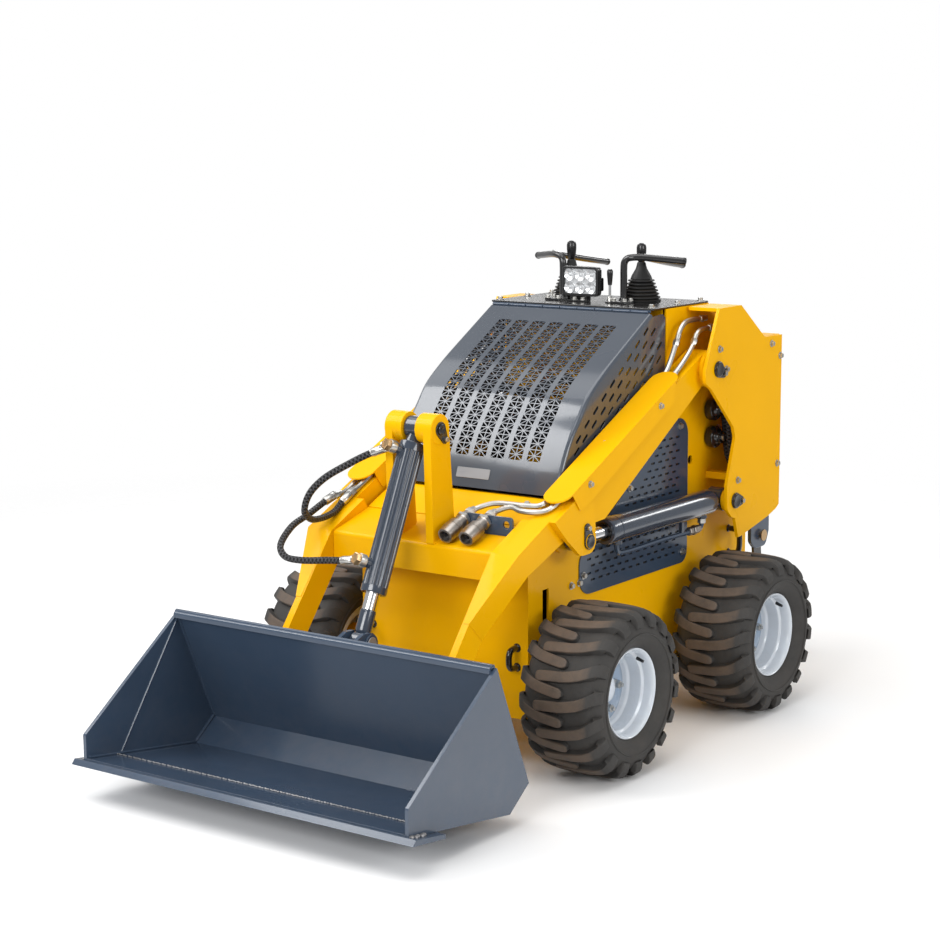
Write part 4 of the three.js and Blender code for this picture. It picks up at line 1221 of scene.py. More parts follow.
class LoaderHood(bpy.types.Operator):
    """Folded hood: a grille of star cells on top and slanted slots in the sides"""
    bl_idname = "loader.hood"
    bl_label = "Hood"

    def execute(self, context):
        marks, pts = hood_line()
        flat = HOOD_HALF - HOOD_FOLD
        xs = [-flat] + [c + d for c in CELL_COLUMNS for d in (-CELL_HALF, 0, CELL_HALF)] + [flat]
        ss = [0.0, 20.0, 42.0, 64.0] + [CELL_START + CELL_PITCH * k for k in range(CELL_ROWS + 1)]
        ss += [ss[-1] + (marks[-1] - ss[-1]) * k / 4 for k in range(1, 5)]
        arcs = [math.radians(a) for a in (22.5, 45, 67.5, 90)]
        across = [(-1, a) for a in reversed(arcs)] + [(0, x) for x in xs] + [(1, a) for a in arcs]
        deselect()
        bpy.ops.mesh.primitive_grid_add(x_subdivisions=len(across) - 1, y_subdivisions=len(ss) - 1, size=1)
        top = active()
        nx, ns = len(across) - 1, len(ss) - 1
        cells = {}
        for vertex in top.data.vertices:
            i = round((vertex.co.x + 0.5) * nx)
            j = round((vertex.co.y + 0.5) * ns)
            cells[vertex.index] = (i, j)
            kind, value = across[i]
            p, inward = hood_at(ss[j], marks, pts)
            x, deep = value, 0.0
            if kind:
                x, deep = kind * (flat + HOOD_FOLD * math.sin(value)), HOOD_FOLD * (1 - math.cos(value))
            q = p + inward * deep
            vertex.co = at(x, q.y, q.z)
        top.data.update()

        # In each cell the diagonals run to the middle; the triangles are inset and opened.
        edit(top, "DESELECT")
        leave()
        context.tool_settings.mesh_select_mode = (False, False, True)
        tag = top.data.attributes.new("cell", "INT", "FACE")
        for face in top.data.polygons:
            i = min(cells[v][0] for v in face.vertices) - len(arcs) - 1
            j = min(cells[v][1] for v in face.vertices) - 4
            if 0 <= j < CELL_ROWS and 0 <= i < len(xs) - 2 and i % 3 != 2:
                tag.data[face.index].value = 1 if i % 3 == j % 2 else 2
        for value, method in ((1, "FIXED"), (2, "FIXED_ALTERNATE")):
            tag = top.data.attributes["cell"]
            for face in top.data.polygons:
                face.select = tag.data[face.index].value == value
            bpy.ops.object.mode_set(mode="EDIT")
            bpy.ops.mesh.quads_convert_to_tris(quad_method=method, ngon_method="BEAUTY")
            leave()
        tag = top.data.attributes["cell"]
        for face in top.data.polygons:
            face.select = tag.data[face.index].value > 0
        bpy.ops.object.mode_set(mode="EDIT")
        bpy.ops.mesh.inset(thickness=sizes().grille_bar / 2, use_individual=True)
        bpy.ops.mesh.delete(type="FACE")
        leave()
        context.tool_settings.mesh_select_mode = (True, False, False)
        top.data.attributes.remove(top.data.attributes["cell"])

        rim = []
        for s in ss:
            p, inward = hood_at(s, marks, pts)
            q = p + inward * HOOD_FOLD
            rim.append((q.y, q.z))
        sheets = [top]
        for s in (1, -1):
            points = fillet(rim + [(192, rim[-1][1] + 4, 10), (204, 1126), (204, 890), (-330, 698)])
            deselect()
            bpy.ops.mesh.primitive_circle_add(vertices=len(points), radius=0.1, fill_type="NGON")
            sheet = active()
            for vertex, p in zip(sheet.data.vertices, points):
                vertex.co = at(s * HOOD_HALF, *p)
            sheet.data.update()
            sheets.append(sheet)
        shell = weld_up(sheets)
        edit(shell)
        bpy.ops.mesh.remove_doubles(threshold=2e-5)
        bpy.ops.mesh.normals_make_consistent(inside=False)
        leave()
        if sum(f.normal.z * f.area for f in shell.data.polygons) < 0:
            edit(shell)
            bpy.ops.mesh.flip_normals()
            leave()
        modify(shell, "SOLIDIFY", thickness=sizes().sheet, offset=-1, use_even_offset=True)
        for s in (1, -1):
            punch(shell, slots(HOOD_SLOTS, 15.5, 4.6, math.radians(39), s * HOOD_HALF, 12), True)
        coat(shell, "slate_hood")

        # the blank nameplate, laid on the hood's foot
        p, inward = hood_at(39, marks, pts)
        run = Vector((0, -inward.z, inward.y))
        sign = plate(rectangle(-60, -14, 48, 14, 3), "z", 0, 1.2, 0.0003, 1, "bare")
        sign.data.transform(Matrix.Translation(at(0, p.y, p.z)) @ Matrix((
            (1, 0, 0, 0), (0, run.y, -inward.y, 0), (0, run.z, -inward.z, 0), (0, 0, 0, 1)))
            @ Matrix.Translation(-at(0, 0, 0)))
        bodies = [shell, sign]
        # the hinge's roll closes the gap below the console
        for k in range(9):
            x = -262 + k * 58.4
            bodies.append(rod(at(x, 132.4, 1146), at(x + 56, 132.4, 1146), 0.0033, sides=12, finish="slate"))
        hand_over(weld_up(bodies), "hood_shell", "hood", ["hood"], angle=30)
        return {"FINISHED"}


# ---------------------------------------------------------------- controls

LAMP_BOX = (-77, 44, 1172, 1257)      # the work light's x and z limits


class LoaderControls(bpy.types.Operator):
    """Drive levers in their bellows, hand rests, throttle and work light"""
    bl_idname = "loader.controls"
    bl_label = "Controls"

    def execute(self, context):
        foot = CONTROLS_Z
        ribs = [(0.0, 0.0), (0.0, 0.056), (0.004, 0.057)]
        for k in range(6):
            base, r = 0.007 + 0.0095 * k, 0.055 - 0.0034 * k
            ribs += [(base, r - 0.007), (base + 0.0028, r), (base + 0.006, r), (base + 0.0085, r - 0.008)]
        ribs += [(0.064, 0.031), (0.072, 0.028), (0.092, 0.0165), (0.102, 0.0135), (0.108, 0.0125),
                 (0.111, 0.01), (0.111, 0.0)]
        stick = [turned(ribs, at(119, 328, foot), Z_AXIS, 40, "boot"),
                 rod(at(119, 328, foot + 100), at(119, 328, foot + 122), 0.0065, sides=16, finish="chrome"),
                 turned([(0.0, 0.0), (0.0, 0.009), (0.004, 0.0105), (0.014, 0.0125), (0.03, 0.014),
                         (0.042, 0.014),
                         (0.05, 0.0115), (0.0535, 0.006), (0.0545, 0.0)], at(119, 328, foot + 111), Z_AXIS,
                         28,
                         "knob")]
        hand_over_pair(weld_up(stick), "lever_*", "chassis", "joystick_*")

        rise = foot + 128
        grip = [at(103, 259, foot + 2), at(103, 259, rise - 60), at(103, 259, rise - 34),
                at(105, 259.5, rise - 14),
                at(113, 261, rise - 4), at(128, 264, rise), at(150, 277, rise), at(200, 313, 1279),
                at(250, 349, 1273)]
        rest = [at(152, 280, 1286), at(146, 350, 1275), at(138, 440, 1261), at(130, 540, 1247)]
        bodies = [tube(grip, 0.01, "black", 16, 8), tube(rest, 0.01, "black", 16, 4)]
        for bar in (grip, rest):
            bodies.append(turned([(-0.006, 0.0), (-0.006, 0.0102), (-0.001, 0.0108), (0.002, 0.0102),
                                  (0.004, 0.006),
                                  (0.0045, 0.0)], bar[-1], (bar[-1] - bar[-2]).normalized(), 20, "knob"))
        bodies.append(plate(rectangle(86, 213, 138, 262, 5), "z", foot, foot + 6, 0.0008, 2, "black"))
        bodies.append(turned([(0.0, 0.0), (0.0, 0.0155), (0.004, 0.0125), (0.008, 0.0105), (0.008, 0.0)],
                             at(103, 259, foot + 6), Z_AXIS, 20, "black"))
        bodies += bolts([at(94, 221, foot + 6), at(130, 221, foot + 6), at(130, 254, foot + 6)], Z_AXIS,
                        0.011,
                        0.006, 0.008)
        hand_over_pair(weld_up(bodies), "hand_rest_*", "chassis", "handle_*")

        bodies = [brick((64, 220, foot), (84, 240, foot + 4), 0.001, 2, "black"),
                  turned([(0.0, 0.0), (0.0, 0.008), (0.008, 0.0075), (0.014, 0.0045), (0.014, 0.0)],
                         at(75, 230, foot + 4), Z_AXIS, 20, "steel"),
                  rod(at(75, 230, foot + 4), at(75, 230, foot + 56), 0.0036, sides=14, finish="chrome"),
                  turned([(0.0, 0.0), (0.0, 0.0055), (0.006, 0.0065), (0.03, 0.0085), (0.04, 0.0085),
                          (0.045, 0.0055), (0.046, 0.0)],
                         at(75, 230, foot + 50), Z_AXIS, 22, "knob")]
        hand_over(weld_up(bodies), "throttle", "chassis", ["throttle_lever"])

        x0, x1, z0, z1 = LAMP_BOX
        bezel = plate(rectangle(x0, z0, x1, z1, 12), "y", 214.5, 223, 0.002, 3)
        opening = rectangle(x0 + 7, z0 + 7, x1 - 7, z1 - 7, 8)
        punch(bezel, [plate(opening, "y", 210, 221, edge=0)])
        bodies = [plate(rectangle(x0, z0, x1, z1, 12), "y", 222, 236, 0.003, 3, "black"),
                  plate(rectangle(x0 + 12, z0 + 9, x1 - 12, z1 - 9, 8), "y", 234, 254, 0.003, 3, "black"),
                  coat(bezel, "black"), plate(opening, "y", 219.5, 221.5, 0.0005, 1, "lens")]
        for k in range(9):
            bodies.append(brick((x0 + 16 + k * 10.6, 248, z0 + 12), (x0 + 20 + k * 10.6, 261, z1 - 12),
                                0.0008,
                                2, "black"))
        dish = turned([(0.0, 0.0), (0.0, 0.005), (-0.0012, 0.0065), (-0.0058, 0.0158), (-0.0062, 0.0167),
                       (0.0012, 0.0167), (0.0012, 0.0)],
                      at(0, 221, 0), Y_AXIS, 20, "lens")
        chip = turned([(-0.0045, 0.0), (-0.0042, 0.002), (-0.0025, 0.0034), (0.0, 0.004), (0.0, 0.0)],
                      at(0, 221, 0), Y_AXIS, 12, "lens")
        bodies += copies_of(weld_up([dish, chip]), [
            ((x0 + 24.5 + 36 * i) / 1000, 0,
             (z0 + 24.5 + 36 * j) / 1000) for i in range(3) for j in range(2)])
        bodies.append(plate(rectangle(-60, 214, 6, 238), "z", foot, foot + 4, 0.0006, 2, "black"))
        for x in (-55, -3):
            bodies.append(brick((x, 222, foot + 2), (x + 5, 244, 1186), 0.0008, 2, "black"))
        bodies += bolts([at(x, 226, foot + 4) for x in (-42, -14)], Z_AXIS, 0.011, 0.006, 0.008)
        for x in (x0 - 2, x1 + 2):
            bodies.append(plate([(225, 1188, 5), (240, 1188, 5), (240, 1226, 6), (225, 1226, 6)], "x", x - 2,
                                x + 2, 0.0006, 2, "black"))
        hand_over(weld_up(bodies), "lamp", "chassis", ["work_light"])
        return {"FINISHED"}


class LoaderTieDowns(bpy.types.Operator):
    """Bent bar loops for the straps"""
    bl_idname = "loader.tie_downs"
    bl_label = "Tie-downs"

    def execute(self, context):
        for name, points in (
                ("front", [(238, -472.5, 268), (238, -488, 268), (238, -502, 271), (238, -509, 281),
                           (238, -509, 307),
                           (238, -502, 317), (238, -488, 320), (238, -472.5, 320)]),
                ("rear", [(272.5, 580, 470), (289, 580, 470), (303, 580, 467), (309, 580, 457),
                          (309, 580, 411),
                          (303, 580, 401), (289, 580, 398), (272.5, 580, 398)])):
            bodies = [tube([at(*p) for p in points], 0.0084, None, 16, 6)]
            for p, q in ((points[0], points[1]), (points[-1], points[-2])):
                a, b = at(*p), at(*q)
                bodies.append(turned([(0.0, 0.0), (0.0, 0.0125), (0.004, 0.0095), (0.005, 0.008),
                                      (0.005, 0.0)],
                                     a, b - a, 18))
            hand_over_pair(coat(weld_up(bodies), "black"), f"strap_loop_{name}_*", "chassis",
                           f"tie_down_{name}_*")
        return {"FINISHED"}


# ---------------------------------------------------------------- lift arms

def arm_top(y):
    """Height of an arm's upper edge, millimetres."""
    return 664 + 0.469 * (y + 479)


def bead(start, end, radius, finish):
    """A weld bead: a thin run along a joint."""
    return tube([start, end], radius, finish, 8, max(2, int((end - start).length / 0.006)))


class LoaderArms(bpy.types.Operator):
    """Lift arms, the cross member between them and its uprights"""
    bl_idname = "loader.arms"
    bl_label = "Lift arms"

    def execute(self, context):
        bodies = [from_frame("arm_left", "yellow", 0.0018),
                  turned([(0.0, 0.0265), (0.0, 0.052), (0.01, 0.052), (0.0125, 0.0495), (0.0125, 0.0265)],
                         at(349.5, *PIVOT), X_AXIS, 48, "yellow", square=Z_AXIS)]
        bodies += keeper(*LIFT_EYE, -9, 36, 361, 1, 0.0185, 22, 13)
        hand_over_pair(weld_up(bodies), "lift_arm_*", "arms", "arm_*")

        bodies = [from_frame("cross_member", "yellow", 0.002)]
        for s in (1, -1):
            bodies.append(turned([(-0.013, 0.015), (-0.013, 0.0385), (-0.011, 0.04), (0.0255, 0.04),
                                  (0.0275, 0.0385),
                                  (0.0275, 0.015)], at(s * 48, *TILT_TOP), (s, 0, 0), 48, "yellow",
                                  square=Z_AXIS))
            bodies += keeper(*TILT_TOP, 17, -27, 74.6, s, 0.0145, 20, 12)
            bodies.append(bead(at(s * 74.5, -606, 600.5), at(s * 74.5, -522, 622), 0.003, "yellow"))
        hand_over(weld_up(bodies), "cross_beam", "arms", ["cross_member"])

        for side, s in SIDES:
            bodies = [from_frame(f"guard_{side}", "yellow", 0.0012)]
            for y in (-330, 20):
                bodies += bolts([at(s * 365.2, y + 8, arm_top(y) + 8)], (s, 0, 0), 0.012, 0.007, 0.0095)
            hand_over(weld_up(bodies), f"pipe_guard_{side}", "arms", [f"guard_{side}"])
        return {"FINISHED"}


LANES = (301.5, 329.5)      # the two pipes of an arm


def pipe_over(y):
    """Height of a pipe's middle over the arm, millimetres."""
    return arm_top(y) + 11


UPPER_ENDS = (
    ((180, 1000), (214, 1052), (238, 1092), (262, 1108), (290, 1113), (380, 1113)),
    ((205, 1004), (240, 1030), (263, 1052), (280, 1076), (302, 1086), (380, 1089)),
)
COUPLERS = (108, 174)
LANE_NUT = (2, 3)      # the bend of UPPER_ENDS that carries each pipe's nut


def cross_top(y):
    """Height of the cross member's upper face, millimetres."""
    return 639.5 + 0.2733 * (y + 461)


class LoaderPipes(bpy.types.Operator):
    """Steel pipes on the arms with their nuts, clamps and quick couplers"""
    bl_idname = "loader.pipes"
    bl_label = "Pipes and couplers"

    def execute(self, context):
        left_ends = []
        for i, x in enumerate(COUPLERS):
            left_ends.append([
                (x, -504, 667.6), (x + 2, -494, 671), (x + 8, -482 - 4 * i, 676),
                (x + 46, -458 - 14 * i, 690),
                (250, -448 - 22 * i, pipe_over(-448 - 22 * i) + 3),
                (LANES[i] - 14, -436 - 18 * i, pipe_over(-436 - 18 * i))])
        right_ends = [
            [(-LANES[0], -485, 677), (-LANES[0], -450, pipe_over(-450))],
            [(-LANES[1], -520, 673), (-LANES[1], -480, pipe_over(-480))]]
        for side, s, ends in (("left", 1, left_ends), ("right", -1, right_ends)):
            bodies = []
            for i, lane in enumerate(LANES):
                points = [at(*p) for p in ends[i]]
                points += [at(s * lane, y, pipe_over(y)) for y in (-380, -200, 0, 148)]
                points += [at(s * lane, y, z) for y, z in UPPER_ENDS[i]]
                bodies.append(tube(points, sizes().pipe_radius, "steel", 12, 6))
                nut = LANE_NUT[i]
                a, b = at(s * lane, *UPPER_ENDS[i][nut - 1]), at(s * lane, *UPPER_ENDS[i][nut])
                run = (b - a).normalized()
                bodies.append(turned([(-0.004, 0.0), (-0.004, 0.0085), (0.0, 0.01), (0.012, 0.01),
                                      (0.014, 0.0085), (0.014, 0.0)], a, run, 6, "steel"))
                bodies.append(turned([(0.014, 0.0), (0.014, 0.008), (0.03, 0.008), (0.03, 0.0)], a, run, 20,
                                     "steel"))
                end = at(s * lane, 380, UPPER_ENDS[i][-1][1])
                bodies.append(turned([(-0.034, 0.0), (-0.034, 0.009), (-0.03, 0.0105), (-0.016, 0.0105),
                                      (-0.014, 0.0088), (0.0, 0.0088), (0.0, 0.0)], end, Y_AXIS, 6, "steel"))
                tip, back = points[0], (points[1] - points[0]).normalized()
                if side == "right":
                    bodies.append(turned([(-0.004, 0.0), (-0.004, 0.01), (0.0, 0.0115), (0.014, 0.0115),
                                          (0.016, 0.0095), (0.016, 0.0)], tip, back, 6, "steel"))
                    bodies.append(turned([(0.016, 0.0), (0.016, 0.0095), (0.03, 0.009), (0.032, 0.0065),
                                          (0.032, 0.0)], tip, back, 20, "steel"))
                else:
                    bodies.append(turned([(-0.006, 0.0), (-0.006, 0.0115), (-0.002, 0.013), (0.01, 0.013),
                                          (0.012, 0.0105), (0.024, 0.0095), (0.024, 0.0)], tip, back, 6,
                                          "steel"))
            bodies.append(plate([(-184, arm_top(-184) + 0.6), (-184, arm_top(-184) + 19, 3),
                                 (-158, arm_top(-158) + 19, 3), (-158, arm_top(-158) + 0.6)],
                                "x", s * (LANES[0] - 10), s * (LANES[1] + 10), 0.001, 2, "black"))
            bodies += bolts([at(s * 315.5, -171, arm_top(-171) + 18.5)], Z_AXIS, 0.012, 0.007, 0.0)
            hand_over(weld_up(bodies), f"arm_pipes_{side}", "arms", [f"pipes_{side}"])

        front, rear = -522, -514
        foot = cross_top(rear) + 0.5
        stand = plate([(89, foot), (258, foot), (258, 672, 10), (89, 672, 10)], "y", front, rear, edge=0)
        punch(stand, [rod(at(239, -540, 652), at(239, -500, 652), 0.0105, sides=24, edge=0)])
        soften(stand, 0.0008)
        bodies = [coat(stand, "slate"),
                  plate([(front, cross_top(front) + 0.4), (front, cross_top(front) + 5),
                         (-486, cross_top(-486) + 5), (-486, cross_top(-486) + 0.4)],
                        "x", 89, 258, 0.0008, 2, "slate")]
        bodies += bolts([at(x, -500, cross_top(-500) + 5) for x in (98, 141, 249)], (0, -0.26, 0.96), 0.012,
                        0.006, 0.009)
        ahead = Vector((0, -0.93, -0.37)).normalized()
        for x in COUPLERS:
            start = at(x, front, 658)
            barrel = [(-0.02, 0.0), (-0.02, 0.0115), (-0.016, 0.0135), (0.0, 0.0135), (0.002, 0.0185),
                      (0.012, 0.0185), (0.014, 0.0165),
                      (0.036, 0.0165), (0.037, 0.0205)]
            for k in range(4):
                barrel += [(0.038 + 0.004 * k, 0.0222), (0.0405 + 0.004 * k, 0.0222),
                           (0.0412 + 0.004 * k, 0.0208)]
            barrel += [(0.056, 0.0215), (0.058, 0.0236), (0.074, 0.0236), (0.076, 0.0222), (0.086, 0.0222),
                       (0.088, 0.0208),
                       (0.093, 0.0208), (0.0938, 0.0195), (0.0938, 0.015), (0.08, 0.0146), (0.08, 0.0)]
            bodies.append(turned(barrel, start, ahead, 40, "nickel"))
            bodies.append(turned([(0.079, 0.0), (0.079, 0.0138), (0.082, 0.0138), (0.082, 0.006),
                                  (0.088, 0.005), (0.0885, 0.0)], start, ahead, 28, "knob"))
            bodies.append(turned([(0.003, 0.0), (0.003, 0.0215), (0.0115, 0.0215), (0.0115, 0.0)], start,
                                 ahead,
                                 6, "steel"))
        hand_over(weld_up(bodies), "quick_couplers", "arms", ["coupler_bracket"])
        return {"FINISHED"}


# ---------------------------------------------------------------- cylinders

def line_between(a, b):
    """Direction and length, in millimetres, from one pin (y, z) to another."""
    way = Vector((0, *b)) - Vector((0, *a))
    return way.normalized(), way.length


LIFT_GLAND = 132              # from the rod's eye back to the end of the barrel at rest
LIFT_PORTS, PIPE_DROP = (92, 548), 71      # along the barrel, and the pipe's distance below its axis


class LoaderLiftCylinders(bpy.types.Operator):
    """Lift cylinders with their feed pipes, glands and chromed rods"""
    bl_idname = "loader.lift_cylinders"
    bl_label = "Lift cylinders"

    def execute(self, context):
        run, total = line_between(LIFT_BASE, LIFT_EYE)
        end = total - LIFT_GLAND
        origin = at(LIFT_X, *LIFT_BASE)
        barrel = turned([
            (50 * MM, 0.0), (50 * MM, 0.027), (58 * MM, 0.0345), (66 * MM, 0.0365), ((end - 46) * MM, 0.0365),
            ((end - 45) * MM, 0.0352),
            ((end - 42) * MM, 0.0352), ((end - 41) * MM, 0.0372), ((end - 6) * MM, 0.0372),
            (end * MM, 0.0345),
            (end * MM, 0.02),
            ((end - 12) * MM, 0.0196), ((end - 12) * MM, 0.0)], origin, run, 56, "cylinder", square=Z_AXIS)
        eye = turned([(-0.023, 0.0202), (-0.023, 0.0325), (-0.0215, 0.034), (0.0215, 0.034), (0.023, 0.0325),
                      (0.023, 0.0202)],
                     origin, X_AXIS, 48, "cylinder", square=Z_AXIS)
        neck = turned([(0.022, 0.0), (0.022, 0.0225), (0.056, 0.029), (0.06, 0.0)], origin, run, 40,
                      "cylinder", square=Z_AXIS)
        down = Vector((0, 0, -1))

        def spot(d, drop):
            return origin + run * d * MM + down * drop * MM

        route = ((92, 34), (92, 56), (96, 66), (108, PIPE_DROP), (300, PIPE_DROP), (528, PIPE_DROP),
                 (542, 67), (548, 56), (548, 34))
        pipe = tube([spot(*p) for p in route], 0.0072, "slate", 14, 8)
        bodies = [barrel, eye, neck, pipe]
        for d in LIFT_PORTS:
            bodies.append(turned([(0.03, 0.0), (0.03, 0.015), (0.0425, 0.015), (0.044, 0.0135),
                                  (0.044, 0.0)], spot(d, 0), down, 24, "cylinder"))
        bodies.append(turned([(0.044, 0.0), (0.044, 0.011), (0.046, 0.0122), (0.056, 0.0122), (0.058, 0.0105),
                              (0.058, 0.0)], spot(LIFT_PORTS[0], 0), down, 6, "steel"))
        for d, size in ((168, 0.0125), (146, 0.014), (126, 0.0115)):
            bodies.append(turned([(0.0, 0.0), (0.0, size - 0.0012), (0.0012, size), (0.0168, size),
                                  (0.018, size - 0.0012), (0.018, 0.0)],
                                 spot(d, PIPE_DROP), -run, 6, "nickel"))
        bodies.append(block(spot(205, 55), (0.01, 0.013, 0.034), 0.001, 2, "cylinder"))
        bodies.append(turned([(-0.001, 0.02), (-0.001, 0.0262), (0.003, 0.025), (0.003, 0.02)],
                             origin + run * end * MM, run, 40, "knob", square=Z_AXIS))
        hand_over_pair(weld_up(bodies), "lift_cylinder_*", "lift_barrel_*", "lift_barrel_*")

        rod_body = turned([(126 * MM, 0.0), (126 * MM, 0.0188), ((total - 34) * MM, 0.0188),
                           ((total - 34) * MM, 0.0)], origin, run, 48, "chrome", square=Z_AXIS)
        head = turned([((total - 36) * MM, 0.0), ((total - 36) * MM, 0.02), ((total - 24) * MM, 0.02),
                       ((total - 20) * MM, 0.0)], origin, run, 40, "cylinder", square=Z_AXIS)
        tip = at(LIFT_X, *LIFT_EYE)
        ring = turned([(-0.02, 0.02), (-0.02, 0.0295), (-0.0185, 0.031), (0.0185, 0.031), (0.02, 0.0295),
                       (0.02, 0.02)],
                      tip, X_AXIS, 44, "cylinder", square=Z_AXIS)
        hand_over_pair(weld_up([rod_body, head, ring]), "lift_ram_*", "lift_rod_*", "lift_rod_*")
        return {"FINISHED"}


SLEEVE = (62, 432)      # start and end of the fluted cover, from the upper pin
SLEEVE_CORNERS, SLEEVE_RADIUS, GROOVE_RADIUS = 60, 0.0335, 0.0302


class LoaderTiltCylinder(bpy.types.Operator):
    """Tilt cylinder in its fluted cover, with ports, gland and rod"""
    bl_idname = "loader.tilt_cylinder"
    bl_label = "Tilt cylinder"

    def execute(self, context):
        run, total = line_between(TILT_TOP, TILT_EYE)
        origin = at(0, *TILT_TOP)
        square = Vector((0, run.z, -run.y))
        if square.y > 0:
            square = -square

        def spot(d, x=0.0, off=0.0):
            return origin + run * d * MM + Vector((x * MM, 0, 0)) + square * off * MM

        flutes = []
        for k in range(SLEEVE_CORNERS):      # every third corner lies in a groove
            turn = math.tau * k / SLEEVE_CORNERS
            r = SLEEVE_RADIUS if k % 3 else GROOVE_RADIUS
            flutes.append((r * math.cos(turn), r * math.sin(turn)))
        deselect()
        bpy.ops.mesh.primitive_circle_add(vertices=len(flutes), radius=0.03, fill_type="NGON")
        sleeve = active()
        for vertex, (u, v) in zip(sleeve.data.vertices, flutes):
            vertex.co = spot(SLEEVE[0]) + Vector(X_AXIS) * u + square * v
        sleeve.data.update()
        edit(sleeve)
        bpy.ops.mesh.extrude_region_move(TRANSFORM_OT_translate={"value": run * (SLEEVE[1] - SLEEVE[0]) * MM})
        leave()
        outwards(sleeve)
        soften(sleeve, 0.0007, 1, 20)
        coat(sleeve, "cylinder")
        bodies = [sleeve]
        bodies.append(turned([(44 * MM, 0.0), (44 * MM, 0.032), (47 * MM, 0.034), (66 * MM, 0.034),
                              (68 * MM, 0.0)], origin, run, 48, "cylinder", square=square))
        bodies.append(turned([(428 * MM, 0.0), (428 * MM, 0.0345), (443 * MM, 0.0345), (446 * MM, 0.032),
                              (446 * MM, 0.0196), (440 * MM, 0.0196), (440 * MM, 0.0)],
                             origin, run, 48, "cylinder", square=square))
        bodies.append(turned([(12 * MM, 0.0), (12 * MM, 0.017), (46 * MM, 0.0215), (50 * MM, 0.0)], origin,
                             run, 40, "cylinder", square=square))
        bodies.append(turned([(-0.02, 0.0155), (-0.02, 0.0285), (-0.0185, 0.03), (0.0185, 0.03),
                              (0.02, 0.0285), (0.02, 0.0155)],
                             origin, X_AXIS, 44, "cylinder", square=square))
        for d in (70, 375):
            start, out = spot(d, -12, 24), spot(d, -28, 66)
            toward = (out - start).normalized()
            bodies.append(turned([(-0.004, 0.0), (-0.004, 0.0135), (0.018, 0.0135), (0.02, 0.012),
                                  (0.02, 0.0)], start, toward, 28, "cylinder"))
            bodies.append(turned([(0.02, 0.0), (0.02, 0.0165), (0.022, 0.0178), (0.037, 0.0178),
                                  (0.039, 0.0165), (0.039, 0.0)], start, toward, 28, "steel"))
            bodies.append(turned([(0.0385, 0.0), (0.0385, 0.0158), (0.04, 0.0165), (0.05, 0.0165),
                                  (0.053, 0.014), (0.053, 0.011), (0.0515, 0.01), (0.0515, 0.0)],
                                 start, toward, 6, "brass"))
            arm = start + toward * 0.0295
            bodies.append(turned([(0.0, 0.0), (0.0, 0.0125), (0.022, 0.0125), (0.024, 0.0105), (0.03, 0.0105),
                                  (0.03, 0.0)], arm, (-1, 0, 0), 20, "steel"))
        hand_over(weld_up(bodies), "tilt_cylinder", "tilt_barrel", ["tilt_barrel"])

        tip = at(0, *TILT_EYE)
        bodies = [turned([(136 * MM, 0.0), (136 * MM, 0.0188), (500 * MM, 0.0188), (500 * MM, 0.0)], origin,
                         run, 48, "chrome", square=square),
                  turned([(490 * MM, 0.0), (490 * MM, 0.0195), (493 * MM, 0.021), ((total - 30) * MM, 0.021),
                          ((total - 20) * MM, 0.016), ((total - 20) * MM, 0.0)],
                         origin, run, 40, "cylinder", square=square),
                  turned([(-0.016, 0.018), (-0.016, 0.024), (-0.0148, 0.0252), (0.0148, 0.0252),
                          (0.016, 0.024), (0.016, 0.018)],
                         tip, X_AXIS, 44, "cylinder", square=square)]
        for s in (1, -1):
            bodies.append(rod(origin + run * (total - 46) * MM + Vector((s * 0.012, 0, 0)),
                              tip - run * 0.018 + Vector((s * 0.0135, 0, 0)), 0.0075, 0.0022, 12, 0.0005,
                              "cylinder"))
        hand_over(weld_up(bodies), "tilt_ram", "tilt_rod", ["tilt_rod"])
        return {"FINISHED"}


UPPER_HOSE = [(-44, -652, 846), (-90, -672, 826), (-130, -694, 803), (-196, -725, 759), (-232, -739, 718),
              (-255, -732, 672), (-275, -680, 638), (-292, -571, 637), (-301, -520, 658), (-301, -486, 676)]
LOWER_HOSE = [(-46, -782, 572), (-85, -786, 568), (-130, -790, 564), (-215, -804, 557), (-261, -805, 561),
              (-289, -792, 580), (-312, -721, 619), (-324, -633, 640), (-329, -560, 662), (-329, -522, 672.6)]


class LoaderHoses(bpy.types.Operator):
    """Braided hoses between the arm pipes and the tilt cylinder"""
    bl_idname = "loader.hoses"
    bl_label = "Hoses"

    def execute(self, context):
        for name, route in (("upper", UPPER_HOSE), ("lower", LOWER_HOSE)):
            points = [at(*p) for p in route]
            bodies = [tube(points, sizes().hose_radius, "hose", 14, 12, weave=True)]
            for tip, nxt in ((points[0], points[1]), (points[-1], points[-2])):
                run = (nxt - tip).normalized()
                bodies.append(turned([(-0.01, 0.0), (-0.01, 0.008), (0.0, 0.0088), (0.004, 0.0118),
                                      (0.038, 0.0118), (0.04, 0.0104), (0.043, 0.0104), (0.043, 0.0)],
                                     tip, run, 24, "steel"))
                bodies.append(turned([(-0.002, 0.0), (-0.002, 0.0122), (0.008, 0.0122), (0.008, 0.0)], tip,
                                     run,
                                     6, "steel"))
            piece = weld_up(bodies)
            pick(piece)
            bpy.ops.object.shade_smooth_by_angle(angle=math.radians(SMOOTH))
            piece.name = piece.data.name = f"{name}_hose"
            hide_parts(f"hose_{name}")
            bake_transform(piece)
        return {"FINISHED"}


# ---------------------------------------------------------------- bucket

BUCKET_HALF = 514


